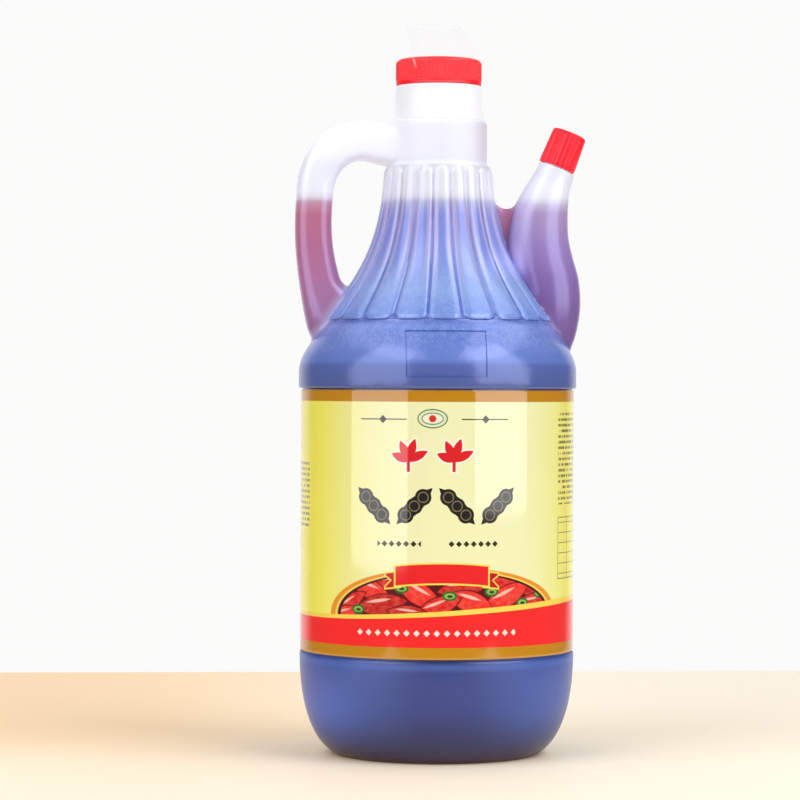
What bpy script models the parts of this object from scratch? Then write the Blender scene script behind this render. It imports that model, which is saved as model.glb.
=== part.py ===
# A one-handled table jug of soy sauce, blow moulded in milky polyethylene.
# The jug stands on its base: +Z is up, the front of the label faces -Y, the
# handle is towards -X and the pouring spout towards +X. The origin is the
# centre of the base, on the axis of the round body. Sizes are in millimetres
# and become metres where a mesh is made.

import math

import bmesh
import bpy
import numpy as np
from mathutils import Matrix, Vector

MM = 0.001

# Walls and clearances
WALL = 1.2                 # thickness of the moulded wall
GAP = 0.3                  # clearance between neighbouring pieces
SIDES = 48                 # facets round the outside of the body
HOLLOW_SIDES = 32          # facets round its inside

# Round body, from the base up; a pull is a (radius, Z) that shapes a curve
BASE_R = 31.95             # outer edge of the ring that the jug stands on
RING_WIDTH = 4.2           # width of that ring
PUSH_UP = 2.2              # height of the hollow under the base
PUSH_UP_SLOPE = 2.5        # width of the slope from the ring up to it
PUSH_UP_DOME = 0.4         # rise from the top of that slope to the middle
HEEL_Z = 31.5              # where the curved heel ends
HEEL_R = 43.4
HEEL_PULLS = ((HEEL_R, 15.3), (39.3, 3.5))
PANEL_LOW = 32.4           # recessed panel for the label
PANEL_HIGH = 115.3
PANEL_R = 42.65
PANEL_LIP = 0.3            # rounding of the steps at its ends
SHOULDER_Z = 120.5         # where the shoulder starts to curve in
SHOULDER_R = 44.0
SHOULDER_PULLS = ((39.2, 131.2), (SHOULDER_R, 126.1))
FLUTE_FOOT_Z = 136.75      # lower ends of the flutes
FLUTE_FOOT_R = 35.15       # shoulder radius just below them

# Fluted cone
FLUTES = 20
FLUTE_COLUMNS = (0.0, 0.14, 0.36, 0.64, 0.86)
FLUTE_STATIONS = (0.1, 0.7, 1.8, 6.75, 12.75, 19.75, 27.75, 36.75, 45.75, 47.55, 48.75)
FLUTE_PROUD = 0.9          # height of a flute above its grooves
GROOVE_HALF = 0.4          # half width of a groove
FLUTE_EDGE = 1.1           # width of the rounded edge of a flute
FOOT_LIP = 0.25            # how abruptly a flute ends at its foot
ARCH_RISE = 0.5            # how far the cone goes on above the arched ends
CREST_FOOT_R = 36.1        # crest radius at the lower end
CREST_PULLS = ((26.2, 150.6), (18.7, 159.8))
CREST_BEND_Z = 182.0       # above this the crests are nearly upright
CREST_TOP_Z = 185.1
CREST_TOP_R = 17.45
CORE_SINK = 0.4            # the turned core lies this far under the grooves
CORE_STATIONS = (184.7, 173.0, 159.5, 148.0)
HOLLOW_STATIONS = (184.7, 172.0, 163.0, 155.0, 149.0, 143.0)

# Neck
BAND_LOW = 187.1
BAND_R = 15.4
NECK_TOP = 200.05
NECK_TOP_R = 14.3
NECK_ROUND = (0.85, 0.6, 1.9)    # the rounded top edge: width, upper and full height
FINISH_R = 11.6                  # outside of the mouth, inside the collar
FINISH_TOP = 209.0

# Closures
COLLAR_TOP = 211.2
COLLAR_TOP_R = 13.5
COLLAR_BORE = 12.2
COLLAR_SIDES = 36
CAP_TOP = 219.7
CAP_R = 13.6
CAP_RIBS = 48
CAP_RIM = 1.4                    # plain rim under the ribs
CAP_ROUND = 2.1                  # rounding of the top edge
CAP_BORE = 12.2
CAP_TOP_WALL = 1.5
CAP_BORE_SIDES = 32
RIB_DEPTH = 0.25
SPOUT_CAP_LENGTH = 11.4
SPOUT_CAP_R = 5.95
SPOUT_CAP_TOP_R = 5.45
SPOUT_CAP_RIBS = 18
SPOUT_CAP_RIM = 0.9
SPOUT_CAP_ROUND = 1.2
SPOUT_TILT = math.radians(21.7)

# Label sleeve
LABEL_LOW = 33.0
LABEL_HIGH = 114.95
LABEL_THICK = 0.3

# Seal film: Z above the cap's top, reach to -X, to +X and to either side along Y
FILM_THICK = 0.25
FILM_SIDES = 20
FILM_LOW = 212.3
FILM_MOUTH = (
    (-0.8, 13.6, 13.6, 13.6),
    (-0.1, 12.7, 13.1, 12.8),
    (1.1, 9.0, 12.3, 10.6),
    (5.2, 9.7, 10.4, 9.2),
    (9.1, 10.6, 8.0, 8.2),
    (10.5, 10.9, 7.2, 8.0),
)

# Soy sauce
LEVEL = 174.8
AIR_SIZE = 200.0                 # block that cuts the liquid off at its level

# Centre line of the handle: X, Z and radius, from the neck to the shoulder
HANDLE_PATH = (
    (-10.5, 191.6, 6.9),
    (-17.5, 192.8, 6.8),
    (-25.0, 193.7, 6.35),
    (-31.2, 191.9, 6.25),
    (-35.8, 187.8, 6.25),
    (-38.5, 181.9, 6.1),
    (-39.4, 174.0, 5.85),
    (-39.4, 161.0, 5.9),
    (-38.2, 152.5, 6.3),
    (-36.6, 146.0, 7.0),
    (-34.6, 140.0, 8.2),
    (-31.8, 133.5, 9.0),
    (-28.5, 128.0, 8.6),
)
HANDLE_DEPTH = 1.12        # its section is this much deeper than wide
HANDLE_SIDES = 14
HANDLE_POINTS = 21

# Centre line of the spout: X, Z and radius, from the mouth to the shoulder
SPOUT_PATH = (
    (37.8, 185.3, 5.9),
    (36.3, 181.6, 6.4),
    (34.5, 177.0, 7.4),
    (32.6, 170.6, 8.9),
    (31.8, 163.2, 9.8),
    (32.7, 155.6, 10.35),
    (34.2, 148.3, 10.8),
    (34.7, 141.9, 10.75),
    (33.9, 135.5, 10.5),
    (32.0, 129.0, 10.0),
    (29.0, 124.0, 9.0),
)
SPOUT_DEPTH = 0.92
SPOUT_SIDES = 20
SPOUT_POINTS = 13
SPOUT_FINISH_R = 4.6
SPOUT_FINISH_LENGTH = 8.5
SPOUT_BORE_R = 3.6
SPOUT_FINISH_SIDES = 16
OVERRUN = 3.0                    # how far a piece runs on into its neighbour

# Web between the spout and the cone
WEB_THICK = 4.0
WEB_FOOT = 158.0
WEB_INNER = 14.5                 # X of its edge inside the cone
WEB_OUTER = 30.0                 # X of its edge inside the spout
WEB_NOTCH = (21.6, 176.4, 3.9)   # centre X, Z and radius of its round top
WEB_NOTCH_END = math.radians(320.0)

# Bare sunk panel on the front of the shoulder
BADGE_HALF_WIDTH = 12.4
BADGE_LOW = 118.9
BADGE_HIGH = 133.2
BADGE_SINK = 0.45


def clear_scene():
    for old in list(bpy.data.objects):
        bpy.data.objects.remove(old, do_unlink=True)


def new_collection(name):
    group = bpy.data.collections.new(name)
    bpy.context.scene.collection.children.link(group)
    return group


def new_material(name, colour, roughness, metallic=0.0, alpha=1.0):
    material = bpy.data.materials.new(name)
    material.use_nodes = True
    shader = material.node_tree.nodes["Principled BSDF"]
    shader.inputs["Base Color"].default_value = (*colour, 1.0)
    shader.inputs["Roughness"].default_value = roughness
    shader.inputs["Metallic"].default_value = metallic
    shader.inputs["Alpha"].default_value = alpha
    return material


def add_object(name, mesh, group, material=None):
    item = bpy.data.objects.new(name, mesh)
    group.objects.link(item)
    if material:
        mesh.materials.append(material)
    return item


def as_cutter(item):
    item.hide_render = True
    item.display_type = "WIRE"
    return item


def bezier(start, leave, arrive, end, count):
    """Points on a cubic curve, without its last one."""
    points = [np.array(p, float) for p in (start, leave, arrive, end)]
    result = []
    for t in np.linspace(0.0, 1.0, count, endpoint=False):
        weights = ((1 - t) ** 3, 3 * (1 - t) ** 2 * t, 3 * (1 - t) * t * t, t ** 3)
        result.append(tuple(sum(w * p for w, p in zip(weights, points))))
    return result


def crest(z):
    """Radius of the crest of a flute at height z."""
    foot = (CREST_FOOT_R, FLUTE_FOOT_Z + FLUTE_STATIONS[0])
    curve = bezier(foot, *CREST_PULLS, (CREST_TOP_R, CREST_BEND_Z), 40)
    curve += [(CREST_TOP_R, CREST_BEND_Z), (CREST_TOP_R - 0.1, CREST_TOP_Z)]
    radii, heights = zip(*curve)
    return float(np.interp(z, heights, radii))


def inset(outline, distance):
    """The outline moved inwards by distance, corner by corner."""
    points = np.array(outline, float)
    result = []
    for i, point in enumerate(points):
        before = points[max(i - 1, 0)]
        after = points[min(i + 1, len(points) - 1)]
        one = point - before if i else after - point
        two = after - point if i < len(points) - 1 else one
        normals = []
        for step in (one, two):
            length = max(np.hypot(*step), 1e-9)
            normals.append(np.array((step[1], -step[0])) / length)
        middle = normals[0] + normals[1]
        middle /= np.hypot(*middle)
        stretch = 1.0 / max(float(middle @ normals[0]), 0.55)
        result.append(tuple(point + middle * distance * stretch))
    return result


def cone_outline(core, heights):
    """Turned part of the cone, which lies core below the crests of the flutes."""
    return [(crest(z) - core, z) for z in heights]


def shoulder_outline(count):
    """Shoulder from just inside the flutes' lower ends down to its full width."""
    top = (FLUTE_FOOT_R - FLUTE_PROUD, FLUTE_FOOT_Z + FLUTE_PROUD)
    return bezier(top, *SHOULDER_PULLS, (SHOULDER_R, SHOULDER_Z), count)


def heel_outline(count):
    return bezier((HEEL_R, HEEL_Z), *HEEL_PULLS, (BASE_R, 0.0), count)


def outside_outline():
    """Outside of the turned body, from the mouth down to the middle of the base."""
    round_width, round_upper, round_full = NECK_ROUND
    ring_r = BASE_R - RING_WIDTH
    outline = [(0.0, FINISH_TOP), (FINISH_R, FINISH_TOP), (FINISH_R, NECK_TOP)]
    outline += [(NECK_TOP_R, NECK_TOP), (NECK_TOP_R + round_width, NECK_TOP - round_upper)]
    outline += [(BAND_R, NECK_TOP - round_full), (BAND_R, BAND_LOW)]
    outline += cone_outline(FLUTE_PROUD + CORE_SINK, CORE_STATIONS)
    outline += shoulder_outline(7)
    outline += [(SHOULDER_R, SHOULDER_Z), (SHOULDER_R, PANEL_HIGH + 3.0 * PANEL_LIP)]
    outline += [(SHOULDER_R - PANEL_LIP, PANEL_HIGH + PANEL_LIP), (PANEL_R, PANEL_HIGH)]
    outline += [(PANEL_R, PANEL_LOW), (HEEL_R - PANEL_LIP, PANEL_LOW - PANEL_LIP)]
    outline += heel_outline(7)
    outline += [(BASE_R, 0.0), (ring_r, 0.0)]
    outline += [(ring_r - PUSH_UP_SLOPE, PUSH_UP - PUSH_UP_DOME), (0.0, PUSH_UP)]
    return outline


def turned(name, outline, group, material=None, sides=SIDES):
    """A closed solid: an outline of (radius, height) turned about Z.

    An outline that ends where it starts gives a ring.
    """
    mesh = bpy.data.meshes.new(name)
    points = [(r * MM, 0.0, z * MM) for r, z in outline]
    if outline[0] == outline[-1]:
        points.pop()
    edges = [(i, (i + 1) % len(points)) for i in range(len(outline) - 1)]
    mesh.from_pydata(points, edges, [])
    item = add_object(name, mesh, group, material)
    screw = item.modifiers.new("Turn", "SCREW")
    screw.axis = "Z"
    screw.steps = sides
    screw.render_steps = sides
    screw.use_merge_vertices = True
    screw.merge_threshold = 0.00001
    screw.use_smooth_shade = True
    return item


def loft(name, rings, group, material=None, closed_ends=True):
    """A skin through rings of points that run counter-clockwise, lowest ring first."""
    mesh = bpy.data.meshes.new(name)
    work = bmesh.new()
    loops = []
    for ring in rings:
        loops.append([work.verts.new(Vector(p) * MM) for p in ring])
    for low, high in zip(loops, loops[1:]):
        count = len(low)
        for i in range(count):
            j = (i + 1) % count
            work.faces.new((low[i], low[j], high[j], high[i]))
    if closed_ends:
        work.faces.new(reversed(loops[0]))
        work.faces.new(loops[-1])
        bmesh.ops.recalc_face_normals(work, faces=work.faces)
    work.to_mesh(mesh)
    work.free()
    return add_object(name, mesh, group, material)


def through(stations, count):
    """Evenly spaced points on a smooth curve through the stations."""
    nodes = np.array(stations, float)
    steps = np.hypot(*np.diff(nodes[:, :2], axis=0).T)
    along = np.concatenate(([0.0], np.cumsum(steps)))
    slopes = np.gradient(nodes, along, axis=0)
    result = []
    for s in np.linspace(0.0, along[-1], count):
        k = min(int(np.searchsorted(along, s, side="right")) - 1, len(nodes) - 2)
        span = along[k + 1] - along[k]
        t = (s - along[k]) / span
        a = 2 * t ** 3 - 3 * t ** 2 + 1
        b = t ** 3 - 2 * t ** 2 + t
        c = 3 * t ** 2 - 2 * t ** 3
        d = t ** 3 - t ** 2
        result.append(a * nodes[k] + b * span * slopes[k]
                      + c * nodes[k + 1] + d * span * slopes[k + 1])
    return result


def tube(name, stations, shrink, depth, sides, count, group):
    """A closed round bar along (X, Z, radius) stations, made a mesh."""
    curve = bpy.data.curves.new(name, "CURVE")
    curve.dimensions = "3D"
    curve.bevel_depth = MM
    curve.bevel_resolution = sides // 2 - 2
    curve.use_fill_caps = True
    spline = curve.splines.new("POLY")
    points = through(stations, count)
    spline.points.add(len(points) - 1)
    for point, (x, z, radius) in zip(spline.points, points):
        point.co = (x * MM, 0.0, z * MM, 1.0)
        point.radius = radius - shrink
    guide = bpy.data.objects.new(name + "_guide", curve)
    group.objects.link(guide)
    bpy.context.view_layer.update()
    shape = guide.evaluated_get(bpy.context.evaluated_depsgraph_get())
    mesh = bpy.data.meshes.new_from_object(shape)
    bpy.data.objects.remove(guide, do_unlink=True)
    work = bmesh.new()
    work.from_mesh(mesh)
    bmesh.ops.remove_doubles(work, verts=work.verts, dist=0.00001)
    bmesh.ops.transform(work, matrix=Matrix.Scale(depth, 4, (0, 1, 0)), verts=work.verts)
    bmesh.ops.recalc_face_normals(work, faces=work.faces)
    work.to_mesh(mesh)
    work.free()
    return add_object(name, mesh, group)


def boolean(item, name, operation, operand):
    modifier = item.modifiers.new(name, "BOOLEAN")
    modifier.operation = operation
    modifier.solver = "EXACT"
    if isinstance(operand, bpy.types.Collection):
        modifier.operand_type = "COLLECTION"
        modifier.collection = operand
    else:
        modifier.object = operand
    return modifier


def flute_height(across, half_width, along, length):
    """Height of a flute over its grooves at one point of its face.

    across is measured from its middle line and along from its lower end. The
    lower end is nearly square, the upper end is a round arch.
    """
    inner = half_width - GROOVE_HALF
    side = inner - abs(across)
    rise = length - along
    if rise < inner:
        side = inner - math.hypot(across, inner - rise)
    distance = min(side, along + FOOT_LIP)
    t = min(max(distance / FLUTE_EDGE, 0.0), 1.0)
    return FLUTE_PROUD * math.sqrt(1.0 - (1.0 - t) ** 2)


def fluted_cone(group):
    """Wide pillow-like flutes with narrow grooves, on a cone that fits over the core."""
    heights = [FLUTE_FOOT_Z + step for step in FLUTE_STATIONS]
    along = [0.0]
    for low, high in zip(heights, heights[1:]):
        along.append(along[-1] + math.hypot(high - low, crest(high) - crest(low)))
    length = along[-1] - ARCH_RISE
    pitch = 2.0 * math.pi / FLUTES
    rings = []

    def ring(z, radius_at):
        points = []
        for flute in range(FLUTES):
            for u in FLUTE_COLUMNS:
                angle = -math.pi / 2 + (flute - 0.5 + u) * pitch
                radius = radius_at(u)
                points.append((radius * math.cos(angle), radius * math.sin(angle), z))
        rings.append(points)

    ring(FLUTE_FOOT_Z - FOOT_LIP, lambda u: FLUTE_FOOT_R - 2.0 * FOOT_LIP)
    for z, reach in zip(heights, along):
        top = crest(z)
        half = math.pi * top / FLUTES
        floor = top - FLUTE_PROUD
        ring(z, lambda u: floor + flute_height((2 * u - 1) * half, half, reach, length))
    ring(BAND_LOW, lambda u: BAND_R - CORE_SINK)
    return loft("flutes", rings, group)


def web(group):
    """A thin plate between cone and spout, with a round notch at its top."""
    centre_x, centre_z, radius = WEB_NOTCH
    arc = []
    for angle in np.linspace(math.pi, WEB_NOTCH_END, 8):
        arc.append((centre_x + radius * math.cos(angle), centre_z + radius * math.sin(angle)))
    outline = [(WEB_INNER, WEB_FOOT), (WEB_INNER, centre_z)] + arc
    outline += [(WEB_OUTER, arc[-1][1]), (WEB_OUTER, WEB_FOOT)]
    rings = []
    for y in (-WEB_THICK / 2, WEB_THICK / 2):
        rings.append([(x, y, z) for x, z in outline])
    return loft("web", rings, group)


def badge(group):
    """Cutter that sinks a rectangle, seen from the front, into the shoulder."""
    curve = shoulder_outline(24)[::-1]
    curve = [(SHOULDER_R, BADGE_LOW)] + curve
    radii, heights = zip(*curve)
    outside = SHOULDER_R + OVERRUN
    rings = []
    for x in np.linspace(-BADGE_HALF_WIDTH, BADGE_HALF_WIDTH, 6):
        ring = []
        for z in np.linspace(BADGE_LOW, BADGE_HIGH, 7):
            radius = np.interp(z, heights, radii) - BADGE_SINK
            ring.append((x, -math.sqrt(radius ** 2 - x ** 2), z))
        ring += [(x, -outside, BADGE_HIGH), (x, -outside, BADGE_LOW)]
        rings.append(ring)
    return loft("badge", rings, group)


def spout_frame():
    """Matrix whose Z runs out of the spout's mouth, from the end of its neck."""
    x, z, _ = SPOUT_PATH[0]
    turn = Matrix.Rotation(SPOUT_TILT, 4, "Y")
    return Matrix.Translation(Vector((x, 0.0, z)) * MM) @ turn


def spout_plug(name, radius, high, low, group):
    """A round bar on the line of the spout's mouth, for its neck or its bore."""
    outline = [(0.0, high), (radius, high), (radius, low), (0.0, low)]
    item = turned(name, outline, group, sides=SPOUT_FINISH_SIDES)
    item.matrix_world = spout_frame()
    return as_cutter(item)


def hollow_outline(offset, mouth):
    """Outline of what fits inside the moulded wall, offset from its outside.

    With mouth, it runs on up through the neck, which opens the jug.
    """
    ring_r = BASE_R - RING_WIDTH
    outline = [(BAND_R, NECK_TOP), (BAND_R, BAND_LOW)]
    outline += cone_outline(FLUTE_PROUD, HOLLOW_STATIONS) + shoulder_outline(5)
    outline += [(SHOULDER_R, SHOULDER_Z), (PANEL_R, PANEL_HIGH - WALL)]
    outline += [(PANEL_R, PANEL_LOW + WALL)] + heel_outline(5)[1:] + [(BASE_R, 0.0)]
    inside = inset(outline, offset)[1:-1]
    top = [(BAND_R - offset, NECK_TOP - offset)]
    if mouth:
        bore = FINISH_R - WALL
        high = FINISH_TOP + OVERRUN
        top = [(0.0, high), (bore, high), (bore, NECK_TOP - offset)] + top
    else:
        top = [(0.0, NECK_TOP - offset)] + top
    floor = [(BASE_R - offset, offset), (ring_r + offset, offset)]
    floor += [(ring_r - PUSH_UP_SLOPE, PUSH_UP - PUSH_UP_DOME + offset)]
    return top + inside + floor + [(0.0, PUSH_UP + offset)]


def inner_solids(offset, label, group, mouth):
    """Body, handle and spout, all lying offset inside the jug's outside."""
    body = turned(label + "_body", hollow_outline(offset, mouth), group, sides=HOLLOW_SIDES)
    handle = tube(label + "_handle", HANDLE_PATH, offset, HANDLE_DEPTH,
                  HANDLE_SIDES - 2, HANDLE_POINTS, group)
    spout = tube(label + "_spout", SPOUT_PATH, offset, SPOUT_DEPTH,
                 SPOUT_SIDES - 4, SPOUT_POINTS, group)
    return as_cutter(body), as_cutter(handle), as_cutter(spout)


def make_bottle(group, material, cutters):
    outers = bpy.data.collections.new("bottle_outside")
    inners = bpy.data.collections.new("bottle_inside")
    cutters.children.link(outers)
    cutters.children.link(inners)

    bottle = turned("bottle", outside_outline(), group, material)

    as_cutter(fluted_cone(outers))
    as_cutter(tube("handle", HANDLE_PATH, 0.0, HANDLE_DEPTH, HANDLE_SIDES, HANDLE_POINTS, outers))
    as_cutter(tube("spout", SPOUT_PATH, 0.0, SPOUT_DEPTH, SPOUT_SIDES, SPOUT_POINTS, outers))
    as_cutter(web(outers))
    spout_plug("spout_finish", SPOUT_FINISH_R, SPOUT_FINISH_LENGTH, -WALL, outers)

    inner_solids(WALL, "hollow", inners, True)
    spout_plug("spout_bore", SPOUT_BORE_R, SPOUT_FINISH_LENGTH + OVERRUN, -OVERRUN, inners)

    boolean(bottle, "Join outside", "UNION", outers)
    boolean(bottle, "Hollow out", "DIFFERENCE", inners)
    boolean(bottle, "Sink the panel", "DIFFERENCE", as_cutter(badge(cutters)))
    return bottle


def make_sauce(group, material, cutters):
    """The liquid in body, handle and spout, cut off level."""
    handle_and_spout = bpy.data.collections.new("sauce_branches")
    cutters.children.link(handle_and_spout)
    body, _, _ = inner_solids(WALL + GAP, "sauce", handle_and_spout, False)
    handle_and_spout.objects.unlink(body)
    group.objects.link(body)
    body.name = "soy_sauce"
    body.hide_render = False
    body.display_type = "TEXTURED"
    body.data.materials.append(material)

    mesh = bpy.data.meshes.new("air")
    work = bmesh.new()
    bmesh.ops.create_cube(work, size=AIR_SIZE * MM)
    lift = Vector((0.0, 0.0, (LEVEL + AIR_SIZE / 2) * MM))
    bmesh.ops.translate(work, vec=lift, verts=work.verts)
    work.to_mesh(mesh)
    work.free()
    air = as_cutter(add_object("air", mesh, cutters))

    boolean(body, "Join handle and spout", "UNION", handle_and_spout)
    boolean(body, "Cut at the level", "DIFFERENCE", air)
    return body


def ribbed_cup(name, size, ribs, edges, bore, place, group, cutters, material):
    """A screw cap: plain rim, ribbed wall, rounded top edge, open underneath.

    size is its length, rim radius and top radius; edges are the height of the
    rim and the rounding of the top edge.
    """
    length, radius, top_radius = size
    rim, rounding = edges

    def ring(z, r, ribbed):
        points = []
        for i in range(2 * ribs):
            angle = math.pi * i / ribs
            depth = RIB_DEPTH if ribbed and i % 2 else 0.0
            points.append(((r - depth) * math.cos(angle), (r - depth) * math.sin(angle), z))
        return points

    bend = rounding * (1.0 - math.sqrt(0.5))
    rings = [
        ring(0.0, radius, False),
        ring(rim, radius, False),
        ring(length - rounding, top_radius, True),
        ring(length - bend, top_radius - bend, False),
        ring(length, top_radius - rounding, False),
    ]
    cap = loft(name, rings, group, material)
    cap.matrix_world = place
    roof = length - CAP_TOP_WALL
    inside = [(0.0, roof), (bore, roof), (bore, -OVERRUN), (0.0, -OVERRUN)]
    hollow = as_cutter(turned(name + "_hollow", inside, cutters, sides=CAP_BORE_SIDES))
    hollow.matrix_world = place
    boolean(cap, "Hollow", "DIFFERENCE", hollow)
    return cap


def make_collar(group, material):
    low = NECK_TOP + GAP
    outline = [(COLLAR_BORE, COLLAR_TOP), (COLLAR_TOP_R, COLLAR_TOP)]
    outline += [(NECK_TOP_R, low), (COLLAR_BORE, low), (COLLAR_BORE, COLLAR_TOP)]
    return turned("cap_collar", outline, group, material, COLLAR_SIDES)


def make_label(group, material):
    inner = PANEL_R + GAP
    outer = inner + LABEL_THICK
    outline = [(inner, LABEL_HIGH), (outer, LABEL_HIGH), (outer, LABEL_LOW)]
    outline += [(inner, LABEL_LOW), (inner, LABEL_HIGH)]
    return turned("label", outline, group, material)


def make_film(group, material):
    """Thin sleeve round the cap that narrows to a flattened, leaning mouth above it."""
    snug = CAP_R + GAP
    stations = [(FILM_LOW, snug, snug, snug), (CAP_TOP - CAP_ROUND, snug, snug, snug)]
    stations += [(CAP_TOP + rise, left, right, deep) for rise, left, right, deep in FILM_MOUTH]
    rings = []
    for z, left, right, deep in stations:
        points = []
        for i in range(FILM_SIDES):
            angle = 2.0 * math.pi * i / FILM_SIDES
            reach = right if math.cos(angle) > 0 else left
            points.append((reach * math.cos(angle), deep * math.sin(angle), z))
        rings.append(points)
    film = loft("seal_film", rings, group, material, closed_ends=False)
    wall = film.modifiers.new("Film thickness", "SOLIDIFY")
    wall.thickness = FILM_THICK * MM
    wall.offset = 1.0
    return film


def main():
    clear_scene()
    group = new_collection("soy_sauce_bottle")
    cutters = new_collection("cutters")
    milky = new_material("milky_polyethylene", (0.86, 0.86, 0.92), 0.35, alpha=0.55)
    sauce = new_material("soy_sauce", (0.09, 0.025, 0.015), 0.1)
    red = new_material("red_polypropylene", (0.85, 0.02, 0.03), 0.35)
    white = new_material("white_polypropylene", (0.92, 0.92, 0.93), 0.3)
    print_yellow = new_material("printed_sleeve", (0.84, 0.77, 0.30), 0.3)
    clear = new_material("clear_film", (0.95, 0.97, 1.0), 0.1, alpha=0.15)

    make_bottle(group, milky, cutters)
    make_sauce(group, sauce, cutters)
    make_collar(group, white)
    cap_low = COLLAR_TOP + GAP
    ribbed_cup("main_cap", (CAP_TOP - cap_low, CAP_R, CAP_R), CAP_RIBS, (CAP_RIM, CAP_ROUND),
               CAP_BORE, Matrix.Translation((0.0, 0.0, cap_low * MM)), group, cutters, red)
    ribbed_cup("spout_cap", (SPOUT_CAP_LENGTH, SPOUT_CAP_R, SPOUT_CAP_TOP_R), SPOUT_CAP_RIBS,
               (SPOUT_CAP_RIM, SPOUT_CAP_ROUND), SPOUT_FINISH_R + GAP,
               spout_frame() @ Matrix.Translation((0.0, 0.0, GAP * MM)), group, cutters, red)
    make_label(group, print_yellow)
    make_film(group, clear)


main()
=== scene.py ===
# Looks of a one-handled table jug of soy sauce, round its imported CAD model.
# Sizes are in millimetres and become metres where a mesh is made. +Z is up, the
# front of the label faces -Y, the handle is towards -X and the spout towards +X.

import math

import bmesh
import bpy
import numpy as np
from mathutils import Matrix, Vector


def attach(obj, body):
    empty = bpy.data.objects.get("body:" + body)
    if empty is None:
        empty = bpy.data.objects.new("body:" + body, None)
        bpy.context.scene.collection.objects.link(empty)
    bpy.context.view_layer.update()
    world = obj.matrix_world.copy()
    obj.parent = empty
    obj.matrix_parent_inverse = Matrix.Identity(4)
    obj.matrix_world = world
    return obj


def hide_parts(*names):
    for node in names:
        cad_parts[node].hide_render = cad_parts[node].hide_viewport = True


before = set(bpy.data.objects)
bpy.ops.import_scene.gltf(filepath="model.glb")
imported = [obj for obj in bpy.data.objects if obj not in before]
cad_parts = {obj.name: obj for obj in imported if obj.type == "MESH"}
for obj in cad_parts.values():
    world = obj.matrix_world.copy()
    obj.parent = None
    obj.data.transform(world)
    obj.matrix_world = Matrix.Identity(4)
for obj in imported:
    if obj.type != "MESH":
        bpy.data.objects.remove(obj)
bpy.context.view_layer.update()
MM = 0.001

# The jug
# One blow moulding in milky polyethylene: a round body with a recess for the
# label, a cone of wide flutes, a neck, and a hollow handle and spout that
# stand out of it. The wall shows the sauce behind it.

WALL = 1.2
BASE_R = 31.95
RING_WIDTH = 4.2
PUSH_UP = 2.2
PUSH_UP_SLOPE = 2.5
PUSH_UP_DOME = 0.4
HEEL_R, HEEL_Z = 43.4, 31.5
HEEL_PULLS = ((HEEL_R, 15.3), (39.3, 3.5))
PANEL_LOW, PANEL_HIGH, PANEL_R = 32.4, 115.3, 42.65
STEP_ROUND = 0.9
SHOULDER_R, SHOULDER_Z = 44.0, 120.5
SHOULDER_PULLS = ((SHOULDER_R, 126.1), (39.2, 131.2))
SHOULDER_END = (34.25, 137.65)
FLUTES = 20
FLUTE_FOOT_R, FLUTE_FOOT_Z = 35.15, 136.75
FLUTE_TOP_Z = 185.5
FLUTE_PROUD = 0.9
ARCH_RISE = 0.5
CREST_FOOT = (36.1, 136.85)
CREST_PULLS = ((26.2, 150.6), (18.7, 159.8))
CREST_BEND = (17.45, 182.0)
CREST_TOP = (17.35, 185.1)
BAND_R, BAND_LOW = 15.4, 187.4
NECK_TOP_R, NECK_TOP = 14.3, 200.05
FINISH_R, FINISH_TOP = 11.6, 209.0
LEVEL = 174.8


def bezier(start, leave, arrive, end, count):
    """Points on a cubic curve, with its first and last one."""
    points = [np.array(p, float) for p in (start, leave, arrive, end)]
    result = []
    for t in np.linspace(0.0, 1.0, count):
        weights = ((1 - t) ** 3, 3 * (1 - t) ** 2 * t, 3 * (1 - t) * t * t, t ** 3)
        result.append(tuple(sum(w * p for w, p in zip(weights, points))))
    return result


crest_curve = np.array(bezier(CREST_FOOT, *CREST_PULLS, CREST_BEND, 90)
                       + [CREST_TOP, (CREST_TOP[0], FLUTE_TOP_Z)])
crest_along = np.append(0.0, np.cumsum(np.hypot(*np.diff(crest_curve, axis=0).T)))
FLUTE_SHAPE = {"Flutes": FLUTES, "Steps per flute": 18, "Crowding at grooves": 0.6,
               "Flute height": FLUTE_PROUD, "Groove half width": 0.3, "Edge width": 3.0,
               "Flute length": crest_along[-1] - ARCH_RISE, "Foot lip": 0.2,
               "Foot sharpness": 1.15, "Foot corner": 2.8}

# Rows up a flute lie close together at its foot and under its round top.
foot_rows = [0.0, 0.06, 0.15, 0.28, 0.45, 0.65, 0.9, 1.2, 1.55, 2.0, 2.6, 3.5]
middle_rows = list(np.arange(4.7, crest_along[-1] - 5.0, 1.25))
arch_rows = list(np.linspace(crest_along[-1] - 4.6, crest_along[-1], 16))
flute_rows = []
for along in foot_rows + middle_rows + arch_rows:
    radius = np.interp(along, crest_along, crest_curve[:, 0])
    height = np.interp(along, crest_along, crest_curve[:, 1])
    flute_rows.append((radius, height, along))


def plain(points):
    """Rows of an outline that carry no flute or rib."""
    return [(r, z, -1.0) for r, z in points]


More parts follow.
